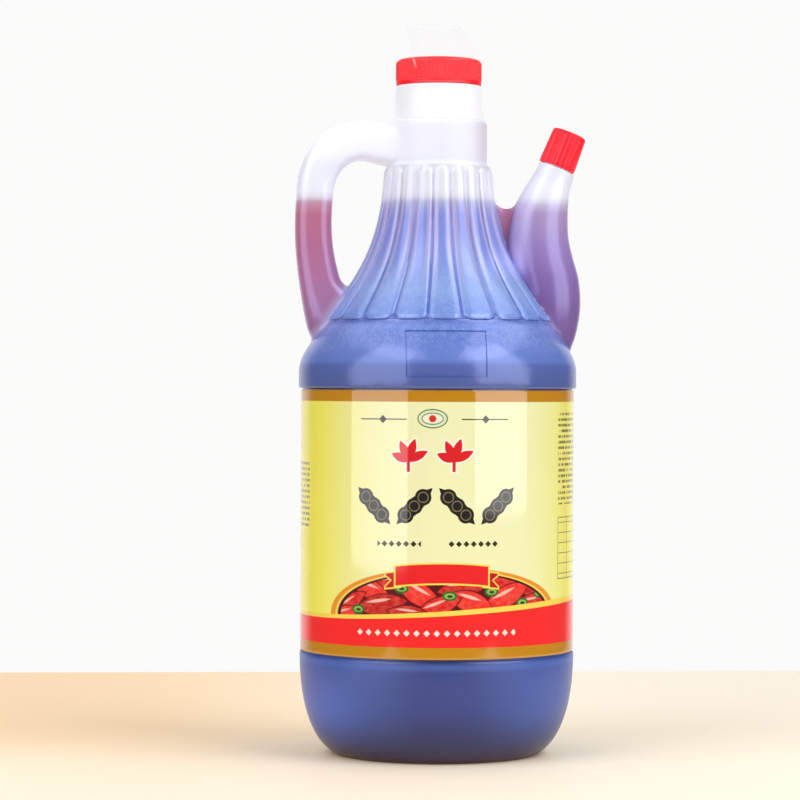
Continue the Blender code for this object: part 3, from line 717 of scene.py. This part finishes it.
gloss = z.rise(185.8, 186.3) * (1.0 - on_arm) * 0.32 + on_arm * 0.06 + z.rise(90.0, 60.0) * 0.11 + 0.18
feed(bench, shader, Base_Color=tint, Roughness=gloss, Emission_Color=painted_glow, Alpha=1.0 - clarity, Normal=bump)
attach(jug, "root")
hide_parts("bottle")

# The soy sauce
# Liquid that fills body, handle and spout up to one level. It reaches just
# into the wall, so no air shows between them, and is redder in the branches.

SAUCE_INSET = 0.8
soy = bpy.data.materials.new("dark_soy")
sauce = turned("sauce", body_outline(SAUCE_INSET, FLUTE_PROUD + 0.4), soy)
join_shapes(sauce, "UNION", [arm("handle", HANDLE, HANDLE_POWER, SAUCE_INSET, 60, 32),
                             arm("spout", SPOUT, SPOUT_POWER, SAUCE_INSET, 48, 40)])
AIR = 120.0
air_corners = [(-AIR, -AIR), (AIR, -AIR), (AIR, AIR), (-AIR, AIR)]
air = lofted("air", [[(a, b, c) for a, b in air_corners] for c in (LEVEL, LEVEL + AIR)])
join_shapes(sauce, "DIFFERENCE", [air])
sauce.data.materials.clear()
sauce.data.materials.append(soy)
sauce.data.set_sharp_from_angle(angle=math.radians(42.0))
bench, shader = finish(soy, Roughness=0.12)
x, y, z, where = places(bench)
in_handle = x.rise(-16.0, -24.0) * z.rise(138.0, 152.0)
in_spout = x.rise(21.0, 27.0) * z.rise(138.0, 152.0)
depths = bench.blend(in_handle, paint(46, 22, 22), paint(196, 44, 46))
depths = bench.blend(in_spout, depths, paint(150, 50, 90))
swirl = noise(bench, where, 60.0) * 0.12 + 0.94
depths = bench.add("ShaderNodeVectorMath", {"operation": "SCALE"}, {0: depths, 3: swirl})
feed(bench, shader, Base_Color=depths)
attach(sauce, "root")
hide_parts("soy_sauce")

# The collar
# White polypropylene ring that snaps on to the neck and carries the cap.

COLLAR_LOW, COLLAR_TOP = NECK_TOP + 0.04, 211.2
COLLAR_TOP_R, COLLAR_BORE = 13.5, 12.2
white = bpy.data.materials.new("white_collar_plastic")
collar_rows = [(COLLAR_BORE, COLLAR_TOP), (COLLAR_BORE, COLLAR_LOW), (NECK_TOP_R - 0.25, COLLAR_LOW)]
collar_rows += [(NECK_TOP_R, COLLAR_LOW + 0.25), (NECK_TOP_R - 0.03, COLLAR_LOW + 0.8)]
collar_rows += [(COLLAR_TOP_R + 0.03, COLLAR_TOP - 0.6), (COLLAR_TOP_R, COLLAR_TOP - 0.2),
                (COLLAR_TOP_R - 0.2, COLLAR_TOP), (COLLAR_BORE, COLLAR_TOP)]
collar = turned("collar", plain(collar_rows), white)
collar.data.set_sharp_from_angle(angle=math.radians(42.0))
# The white plastic has a faint painted glow.
bench, shader = finish(white, Roughness=0.35, Emission_Color=paint(240, 242, 255), Emission_Strength=0.06)
x, y, z, where = places(bench)
cloud = noise(bench, where, 90.0)
feed(bench, shader, Base_Color=bench.blend(cloud * 0.3, paint(252, 252, 255), paint(246, 246, 255)))
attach(collar, "root")
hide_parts("cap_collar")

# The red caps
# Two screw caps in red polypropylene, one on the neck and a small one on the
# spout. Fine upright ribs run from a plain rim to a rounded top edge.

red = bpy.data.materials.new("red_cap_plastic")


def cap(name, length, low_r, top_r, bore, ribs, rib_depth, rim, rounding, place):
    """A cap that stands on its rim at the origin, and is then put in its place."""
    slope = (top_r - low_r) / length
    rib_length = length - rim - rounding * 0.55
    rows = plain([(0.0, length - 1.5), (bore, length - 1.5), (bore, 0.0), (low_r - 0.2, 0.0)])
    rows += plain([(low_r - 0.1, 0.1), (low_r - 0.1, rim - 0.2)])
    for share in (0.0, 0.02, 0.05, 0.1, 0.3, 0.5, 0.7, 0.84, 0.9, 0.94, 0.97, 1.0):
        up = share * rib_length
        rows.append((low_r + slope * (rim + up), rim + up, up))
    edge_z = rim + rib_length
    edge_r = low_r + slope * edge_z - rib_depth
    rows += plain(bezier((edge_r, edge_z + 0.05), (edge_r, length - 0.35 * rounding),
                         (edge_r - 0.35 * rounding, length), (edge_r - rounding, length), 8))
    rows += plain([(edge_r - rounding - 1.0, length - 0.03), (0.0, length - 0.12)])
    item = turned(name, rows, red, {
        "Flutes": ribs, "Flute height": rib_depth, "Groove half width": 0.08, "Edge width": 0.4,
        "Flute length": rib_length, "Foot lip": 0.05})
    item.data.transform(place)
    item.data.set_sharp_from_angle(angle=math.radians(50.0))
    return item


CAP_LOW, CAP_TOP = 211.5, 219.7
CAP_R, CAP_BORE = 13.6, 12.2
SPOUT_CAP_LENGTH, SPOUT_CAP_LOW_R, SPOUT_CAP_TOP_R = 11.6, 5.95, 5.45
SPOUT_CAP_SHIFT, SPOUT_CAP_LIFT = -0.35, 0.55
main_cap = cap("ribbed_main_cap", CAP_TOP - CAP_LOW, CAP_R, CAP_R, CAP_BORE, 96, 0.2, 1.3, 2.1,
               Matrix.Translation((0.0, 0.0, CAP_LOW * MM)))
spout_cap = cap("ribbed_spout_cap", SPOUT_CAP_LENGTH, SPOUT_CAP_LOW_R, SPOUT_CAP_TOP_R,
                SPOUT_FINISH_R + 0.2, 36, 0.1, 0.9, 0.9,
                spout_line @ Matrix.Translation((SPOUT_CAP_SHIFT * MM, 0.0, SPOUT_CAP_LIFT * MM)))
# A painted glow in the red plastic lightens the shade between the ribs.
bench, shader = finish(red, Roughness=0.4, Specular_IOR_Level=0.3, Emission_Color=paint(255, 10, 16),
                       Emission_Strength=0.17)
x, y, z, where = places(bench)
fleck = noise(bench, where, 700.0)
red_tint = bench.blend(fleck.rise(0.3, 0.7), paint(250, 20, 30), paint(254, 34, 48))

# Places across and along the small cap. Both caps get painted shade at their edges; painted highlights run as
# pale streaks up the side of the small one, and a painted highlight lies on the big one's rim.
small = x.above(20.0)
across = (x - SPOUT_END.x) * math.cos(SPOUT_TILT) - (z - SPOUT_END.z) * math.sin(SPOUT_TILT)
along = (x - SPOUT_END.x) * math.sin(SPOUT_TILT) + (z - SPOUT_END.z) * math.cos(SPOUT_TILT)
painted_shade_at_edges = (x / CAP_R * (1.0 - small) + across / 5.7 * small).size().rise(0.93, 1.0)
red_tint = bench.blend(painted_shade_at_edges, red_tint, paint(226, 170, 180), "MULTIPLY")
painted_streak_highlight = bench.add("ShaderNodeCombineXYZ", {}, {0: across * 0.9, 1: y * 0.02, 2: z * 0.02})
painted_streak_highlight = noise(bench, painted_streak_highlight, 1.0).rise(0.45, 0.7) * small * along.rise(11.9, 11.2) * 0.45
red_tint = bench.blend(painted_streak_highlight, red_tint, paint(255, 100, 124))
painted_rim_highlight = z.rise(CAP_LOW - 0.1, CAP_LOW) * z.rise(CAP_LOW + 0.8, CAP_LOW + 0.3)
painted_rim_highlight = painted_rim_highlight * x.size().rise(10.5, 7.0) * (1.0 - small) * 0.25
red_tint = bench.blend(painted_rim_highlight, red_tint, paint(255, 176, 184))
feed(bench, shader, Base_Color=red_tint)
for item, node in ((main_cap, "main_cap"), (spout_cap, "spout_cap")):
    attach(item, "root")
    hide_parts(node)

# The label sleeve
# Printed plastic film wrapped round the recess and lapped at the back: fields
# of yellow, red and gold, a dish of red pepper slices, and plain ornaments.

LABEL_LOW, LABEL_HIGH, LABEL_R, LABEL_INNER = 33.0, 114.95, 43.25, 42.95
printed = bpy.data.materials.new("printed_plastic")
label_rows = [(LABEL_INNER, LABEL_HIGH)]
label_rows += [(LABEL_INNER, z) for z in np.linspace(LABEL_HIGH - 0.5, LABEL_LOW + 0.5, 12)]
label_rows += [(LABEL_INNER, LABEL_LOW), (LABEL_R - 0.08, LABEL_LOW), (LABEL_R, LABEL_LOW + 0.1)]
label_rows += [(LABEL_R, z) for z in np.linspace(LABEL_LOW + 0.6, LABEL_HIGH - 0.6, 40)]
label_rows += [(LABEL_R, LABEL_HIGH - 0.1), (LABEL_R - 0.08, LABEL_HIGH), (LABEL_INNER, LABEL_HIGH)]
label = turned("wrap_label", plain(label_rows), printed, {"Steps per flute": 10})
label.data.set_sharp_from_angle(angle=math.radians(42.0))
bench, shader = finish(printed, Roughness=0.6, Coat_Weight=1.0, Coat_Roughness=0.05, Coat_IOR=1.7,
                       Specular_IOR_Level=0.1)
x, y, z, where = places(bench)
PRINT_TURN = -4.3
s = bench.math("ARCTAN2", x, y * -1.0) * LABEL_R - PRINT_TURN


def cover(base, mask, colour):
    return bench.blend(mask, base, paint(*colour) if isinstance(colour, tuple) else colour)


def inside(distance, soft=0.08):
    """1 inside an outline, where its distance is below 0."""
    return distance.rise(soft, -soft)


def bar(s_mid, z_mid, half_s, half_z):
    """Distance from an upright rectangle."""
    return ((s - s_mid).size() - half_s).most((z - z_mid).size() - half_z)


def disc(s_mid, z_mid, half_s, half_z):
    """Distance from an ellipse, true enough near its edge."""
    a = (s - s_mid) / half_s
    b = (z - z_mid) / half_z
    return ((a * a + b * b).root() - 1.0) * min(half_s, half_z)


def axes(s_mid, z_mid, turn):
    """Places along and across a shape that is turned by an angle."""
    c, n = math.cos(turn), math.sin(turn)
    a, b = s - s_mid, z - z_mid
    return a * c + b * n, b * c - a * n


def lens(a, b, half_long, half_wide):
    """Distance from a pointed leaf that lies along a."""
    return b.size() - (1.0 - (a / half_long) ** 2.0) * half_wide


def leaf(s_mid, z_mid, half_long, half_wide, turn):
    return lens(*axes(s_mid, z_mid, turn), half_long, half_wide)


YELLOW, DEEP_YELLOW, GOLD, RED = (242, 241, 186), (248, 241, 90), (196, 134, 8), (251, 40, 38)
INK = (58, 44, 26)
print_colour = bench.blend((s - 8.0).size().rise(18.0, 56.0), paint(*YELLOW), paint(*DEEP_YELLOW))

# Two thin rules, each with a lozenge, and two rows of lozenges.
for s_mid, half in ((-15.6, 7.6), (16.5, 7.6)):
    rule = bar(s_mid, 106.1, half, 0.18).least((s - s_mid).size() + (z - 106.1).size() - 1.3)
    print_colour = cover(print_colour, inside(rule), INK)
for s_mid, half in ((-10.3, 6.9), (12.8, 7.7)):
    along = (s - s_mid) / 2.3
    lozenge = ((along + 0.5).part() - 0.5).size() * 2.3 + (z - 68.2).size() - 0.95
    print_colour = cover(print_colour, inside(lozenge.most((s - s_mid).size() - half)), INK)

# Plain oval with a green ring.
print_colour = cover(print_colour, inside(disc(0.0, 106.3, 4.65, 2.95)), (40, 120, 80))
print_colour = cover(print_colour, inside(disc(0.0, 106.3, 4.3, 2.6)), (236, 232, 190))
print_colour = cover(print_colour, inside(disc(0.0, 106.3, 3.4, 1.9)), (70, 150, 104))
print_colour = cover(print_colour, inside(disc(0.0, 106.3, 3.05, 1.55)), (246, 240, 210))
print_colour = cover(print_colour, inside(disc(0.0, 106.3, 1.1, 1.1)), (214, 50, 40))

# Two red sprigs with a pale edge.
sprigs = None
for s_mid in (-7.4, 6.6):
    for turn, size in ((0.45, 1.0), (1.25, 1.0), (2.0, 0.95), (2.75, 0.85)):
        a, b = s_mid + math.cos(turn) * 3.0 * size, 93.3 + math.sin(turn) * 3.6 * size
        petal = leaf(a, b, 3.7 * size, 1.35, turn)
        sprigs = petal if sprigs is None else sprigs.least(petal)
    sprigs = sprigs.least(bar(s_mid, 92.0, 0.5, 1.9))
print_colour = cover(print_colour, inside(sprigs - 0.5), (255, 250, 236))
print_colour = cover(print_colour, inside(sprigs), (222, 30, 34))

# Four dark bean pods with pointed ends.
for k in range(4):
    s_mid, lean = -18.6 + 13.1 * k, (1 if k % 2 else -1)
    pod = leaf(s_mid, 79.7, 7.9, 2.3, lean * math.pi / 4.0)
    for step in (-1, 0, 1):
        pod = pod.least(disc(s_mid + 2.7 * step, 79.7 + 2.7 * step * lean, 2.55, 2.55))
    print_colour = cover(print_colour, inside(pod), (34, 28, 24))
    for step in (-1, 0, 1):
        bean = disc(s_mid + 2.7 * step, 79.7 + 2.7 * step * lean, 1.55, 1.55)
        print_colour = cover(print_colour, inside(bean.size() - 0.16), (132, 118, 84))

# Side fields: lines of dashes, and an empty table.
LINE_STEP = 1.75
for s_mid, z_high, z_low in ((56.0, 108.0, 79.5), (-58.0, 93.0, 71.5)):
    line = ((z / LINE_STEP).part() - 0.5).size() * LINE_STEP - 0.42
    dash = bench.add("ShaderNodeCombineXYZ", {}, {0: s * 0.9, 1: (z / LINE_STEP).floor() * 7.3})
    dash = noise(bench, dash, 1.0, roughness=0.7).rise(0.43, 0.47)
    field = bar(s_mid, (z_high + z_low) / 2.0, 9.0, (z_high - z_low) / 2.0)
    print_colour = cover(print_colour, inside(line.most(field)) * dash * 0.75, INK)
TABLE_S, TABLE_Z, TABLE_HALF_S, TABLE_HALF_Z = 56.0, 66.0, 9.0, 9.5
table = bar(TABLE_S, TABLE_Z, TABLE_HALF_S, TABLE_HALF_Z)
frame_line = table.size() - 0.14
TABLE_ROW = 3.17
row_place = ((z - TABLE_Z) / TABLE_ROW + 0.5).part()
rows_line = row_place.least(1.0 - row_place) * TABLE_ROW - 0.12
columns_line = (s - TABLE_S + 2.0).size() - 0.12
grid_line = rows_line.least(columns_line).most(table)
print_colour = cover(print_colour, inside(frame_line.least(grid_line)) * 0.8, INK)

# A dish heaped with slices of red pepper and rings of green stalk. Each slice
# is its middle, half length, half width, turn and tone.
DISH = (4.6, 46.0, 38.2, 14.4)
SLICES = (
    (-12.0, 57.0, 7.0, 2.6, 0.25, 0), (21.0, 57.3, 7.5, 2.5, -0.15, 0), (-20.0, 54.3, 7.5, 2.8, -0.35, 1),
    (10.0, 55.3, 8.5, 3.0, 0.2, 2), (33.5, 53.8, 7.0, 2.6, -0.45, 2), (-4.0, 53.0, 8.0, 3.2, -0.5, 1),
    (-27.0, 50.0, 6.5, 2.2, 0.5, 0), (24.0, 52.2, 8.5, 3.1, 0.4, 1), (-16.0, 49.6, 8.5, 3.0, 0.15, 2),
    (12.0, 50.6, 7.5, 3.1, -0.3, 1), (34.0, 50.2, 7.0, 2.2, 0.1, 0), (2.0, 49.2, 7.5, 2.7, 0.35, 0),
    (-29.0, 46.6, 6.0, 2.0, 0.2, 1), (-7.0, 47.0, 7.0, 2.3, -0.1, 2),
)
TONES = ((216, 26, 28), (238, 46, 40), (188, 16, 24))
STALKS = ((-24.0, 47.9), (-9.4, 54.6), (18.6, 53.6), (29.6, 50.0), (36.6, 52.6), (5.4, 52.4), (-30.5, 51.6))
dish = disc(*DISH)
food = paint(92, 10, 12)
shade = bench.add("ShaderNodeCombineXYZ", {}, {0: s * 0.5, 1: z * 0.7})
shade = noise(bench, shade, 1.0, 3.0, 0.6).rise(0.35, 0.7)
tones = [bench.blend(shade * 0.4, paint(*colour), paint(255, 110, 84)) for colour in TONES]
for s_mid, z_mid, half_long, half_wide, turn, tone in SLICES:
    a, b = axes(s_mid, z_mid, turn)
    slice_edge = lens(a, b, half_long, half_wide)
    food = cover(food, inside(slice_edge - 0.35, 0.25), (110, 6, 10))
    food = cover(food, inside(slice_edge, 0.15), tones[tone])
    glint = lens(a + 0.8, b - half_wide * 0.42, half_long * 0.5, half_wide * 0.16)
    food = cover(food, inside(glint, 0.15) * 0.75, (255, 214, 196))
for a, b in STALKS:
    food = cover(food, inside(disc(a, b, 2.3, 1.5), 0.15), (44, 104, 36))
    food = cover(food, inside(disc(a, b, 1.6, 0.9), 0.15), (150, 190, 92))
    food = cover(food, inside(disc(a + 0.1, b - 0.1, 0.9, 0.45), 0.15), (40, 70, 22))
print_colour = cover(print_colour, inside(dish - 0.7), (236, 150, 40))
print_colour = cover(print_colour, inside(dish + 0.1), (250, 214, 96))
print_colour = cover(print_colour, inside(dish + 0.5), (70, 20, 14))
print_colour = cover(print_colour, inside(dish + 1.0), food)

# A bare ribbon over the dish.
BANNER_S, BANNER_Z = 3.1, 58.8
beside = (s - BANNER_S).size()
height = z + beside * beside * 0.004 - BANNER_Z
ribbon = (beside - 14.4).most((height - 0.4).size() - 2.9)
off_tail = (height + 0.7).size()
tails = (beside - 17.6).most(off_tail - 2.2).most(13.0 - beside)
tails = tails.most((beside - 17.6) * 0.8 + 1.6 - off_tail * 0.9)
print_colour = cover(print_colour, inside(tails - 0.45), (250, 226, 90))
print_colour = cover(print_colour, inside(tails), (196, 22, 26))
print_colour = cover(print_colour, inside(ribbon - 0.5), (250, 226, 90))
print_colour = cover(print_colour, inside(ribbon), (236, 34, 36))

# Red band with a yellow line on its wavy top, and gold at both ends of the sleeve.
crest_line = s.rise(-50.0, 75.0) * 5.5 - s.rise(85.0, 130.0) * 5.5 + 45.6
line_width = s.rise(-60.0, 60.0) * 0.6 + 1.15
print_colour = cover(print_colour, inside(z - crest_line), (252, 218, 88))
print_colour = cover(print_colour, inside(z - crest_line + line_width), RED)
trim = ((s / 3.1).part() - 0.5).size() * 3.1 + (z - 41.0).size() - 1.0
print_colour = cover(print_colour, inside(trim.most((s - 1.0).size() - 26.0)) * 0.95, (255, 236, 226))
print_colour = cover(print_colour, inside(z - 36.6), GOLD)
print_colour = cover(print_colour, inside(111.4 - z), GOLD)
print_colour = cover(print_colour, s.rise(131.2, 131.4) * 0.35, (150, 120, 60))
feed(bench, shader, Base_Color=print_colour)
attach(label, "root")
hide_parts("label")

# The seal film
# Clear shrink film drawn down over the cap. Above it the film stands up as a
# flattened mouth with a crease down its left side.

FILM_THICK = 0.08

# Height over the cap's top, reach to the left, reach to the right, half depth.
FILM_MOUTH = (
    (-7.4, 14.1, 14.1, 14.1),
    (-2.1, 14.1, 14.1, 14.1),
    (-0.8, 13.8, 13.8, 13.8),
    (-0.1, 12.9, 13.3, 13.0),
    (1.1, 9.2, 12.5, 10.8),
    (5.2, 9.8, 10.5, 9.3),
    (9.1, 10.7, 8.1, 8.3),
    (10.4, 11.0, 7.3, 8.1),
)
clear = bpy.data.materials.new("clear_shrink_plastic")
film_sides = 96
film_rings = []
mouth = np.array(FILM_MOUTH)
for rise in np.concatenate((np.linspace(-7.4, -2.1, 8), np.linspace(-1.8, 10.4, 44))):
    left, right, deep = [np.interp(rise, mouth[:, 0], mouth[:, k]) for k in (1, 2, 3)]
    ring = []
    for i in range(film_sides):
        angle = 2.0 * math.pi * i / film_sides
        reach = right if math.cos(angle) > 0 else left
        loose = min(max((rise + 1.0) / 3.0, 0.0), 1.0)
        fold = 0.05 * loose * math.sin(9.0 * angle + rise * 0.5) * math.sin(4.0 * angle + 1.3)
        fold -= 0.5 * math.exp(-((angle - 4.14) / 0.07) ** 2) * min(max((rise + 3.0) / 3.0, 0.0), 1.0)
        ring.append(((reach + fold - 0.3 * loose) * math.cos(angle),
                     (deep + fold - 0.3 * loose) * math.sin(angle), CAP_TOP + rise))
    film_rings.append(ring)
film = lofted("film", film_rings, closed=False)
film.data.materials.append(clear)
sheet = film.modifiers.new("Thickness", "SOLIDIFY")
sheet.thickness = FILM_THICK * MM
sheet.offset = -1.0
make_plain(film)
bench, shader = finish(clear, Roughness=0.12, Base_Color=paint(244, 247, 250))
x, y, z, where = places(bench)
crinkle = noise(bench, where, 260.0)
crinkle = bench.add("ShaderNodeBump", {}, {"Strength": 0.4, "Distance": 0.0003, "Height": crinkle})
rim = z.rise(CAP_TOP + 10.0, CAP_TOP + 10.3)
folds = y.size().rise(0.7, 0.1) * z.rise(CAP_TOP - 1.0, CAP_TOP + 1.0)
# Whiter film along the crease on the cap is a painted highlight.
painted_crease_light = (x + 8.9 + (z - CAP_TOP) * 0.25).size().rise(0.5, 0.1) * y.rise(0.0, -1.0)
painted_crease_light = painted_crease_light * z.rise(CAP_TOP - 4.2, CAP_TOP - 2.6) * z.rise(CAP_TOP - 0.3, CAP_TOP - 1.0)
feed(bench, shader, Alpha=rim.most(folds) * 0.07 + painted_crease_light * 0.17 + 0.02, Normal=crinkle)
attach(film, "root")
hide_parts("seal_film")

# Floor, light and camera
# A pale table before a pale backdrop, and two upright soft boxes left and right
# of the camera, whose edges show as stripes on the gloss of the label. Two bright
# strips overhead carry the stripes on over the shoulder.

bpy.context.scene.view_settings.view_transform = "Standard"
FLOOR_HALF, FLOOR_FRONT, FLOOR_BACK = 0.31, -0.36, 0.27
floor = bpy.data.meshes.new("floor")
floor.from_pydata([(-FLOOR_HALF, FLOOR_FRONT, 0.0), (FLOOR_HALF, FLOOR_FRONT, 0.0),
                   (FLOOR_HALF, FLOOR_BACK, 0.0), (-FLOOR_HALF, FLOOR_BACK, 0.0)], [], [(0, 1, 2, 3)])
floor = shown("floor", floor)
table_top = bpy.data.materials.new("pale_table")
floor.data.materials.append(table_top)
bench, shader = finish(table_top, Roughness=0.6, Emission_Color=paint(255, 205, 130), Emission_Strength=0.07)
x, y, z, where = places(bench)
warm = bench.blend(y.rise(80.0, -80.0), paint(255, 221, 176), paint(255, 238, 210))
feed(bench, shader, Base_Color=bench.blend(x.rise(-130.0, 70.0), warm, paint(255, 244, 222)))

world = bpy.data.worlds.new("pale_room")
bpy.context.scene.world = world
world.use_nodes = True
bench = Bench(world.node_tree)
room = world.node_tree.nodes["Background"]
across, backward, upward = bench.split(bench.add("ShaderNodeTexCoord", {}, {}, "Generated"))
DIM, OVERHEAD, BACKDROP = (0.08, 0.08, 0.085, 1.0), (1.4, 1.42, 1.5, 1.0), (0.92, 0.92, 0.92, 1.0)
RIGHT_STRIP, SEEN = (1.7, 1.75, 1.85, 1.0), (0.965, 0.96, 0.955, 1.0)
slant = across / upward.most(0.05)
left_strip = slant.rise(-1.0, -0.85) * slant.rise(-0.2, -0.3)
right_strip = slant.rise(0.3, 0.42) * slant.rise(1.1, 0.9)
sky = bench.blend(upward.rise(0.3, 0.95) * 0.1, DIM, OVERHEAD)
sky = bench.blend(left_strip * upward.rise(0.5, 0.7) * 0.8, sky, OVERHEAD)
sky = bench.blend(right_strip * upward.rise(0.5, 0.7), sky, RIGHT_STRIP)
sky = bench.blend(backward.rise(0.65, 0.92), sky, BACKDROP)
seen = bench.add("ShaderNodeLightPath", {}, {}, "Is Camera Ray")
sky = bench.blend(seen, sky, SEEN)
bench.tree.links.new(sky.socket, room.inputs["Color"])


def soft_box(name, bearing, distance, width, low, high, power, colour):
    """An upright light panel; its bearing is measured from the camera's side."""
    lamp = bpy.data.lights.new(name, "AREA")
    lamp.shape = "RECTANGLE"
    lamp.size, lamp.size_y = width, high - low
    lamp.energy = power
    lamp.color = colour
    item = shown(name, lamp)
    angle = math.radians(bearing)
    spot = Vector((math.sin(angle) * distance, -math.cos(angle) * distance, (low + high) / 2.0))
    item.location = spot
    item.visible_camera = False
    item.rotation_euler = Vector((spot.x, spot.y, 0.0)).to_track_quat("Z", "Y").to_euler()


COOL = (0.95, 0.97, 1.0)
soft_box("left_box", -3.8 - 49.5, 1.0, 0.95, 0.0, 1.7, 10.2, COOL)
soft_box("right_box", -3.8 + 55.0, 1.0, 0.89, 0.035, 1.7, 11.8, COOL)

CAMERA_BEARING, CAMERA_DISTANCE, CAMERA_HEIGHT = -3.8, 986.4, 118.2
camera = bpy.data.cameras.new("camera")
camera.lens = 139.8
camera.shift_x, camera.shift_y = -0.0469, -0.0256
camera.clip_start, camera.clip_end = 0.05, 20.0
eye = shown("camera", camera)
bearing = math.radians(CAMERA_BEARING)
eye.location = (math.sin(bearing) * CAMERA_DISTANCE * MM, -math.cos(bearing) * CAMERA_DISTANCE * MM,
                CAMERA_HEIGHT * MM)
eye.rotation_euler = (math.radians(90.0), math.radians(-0.24), bearing)
bpy.context.scene.camera = eye
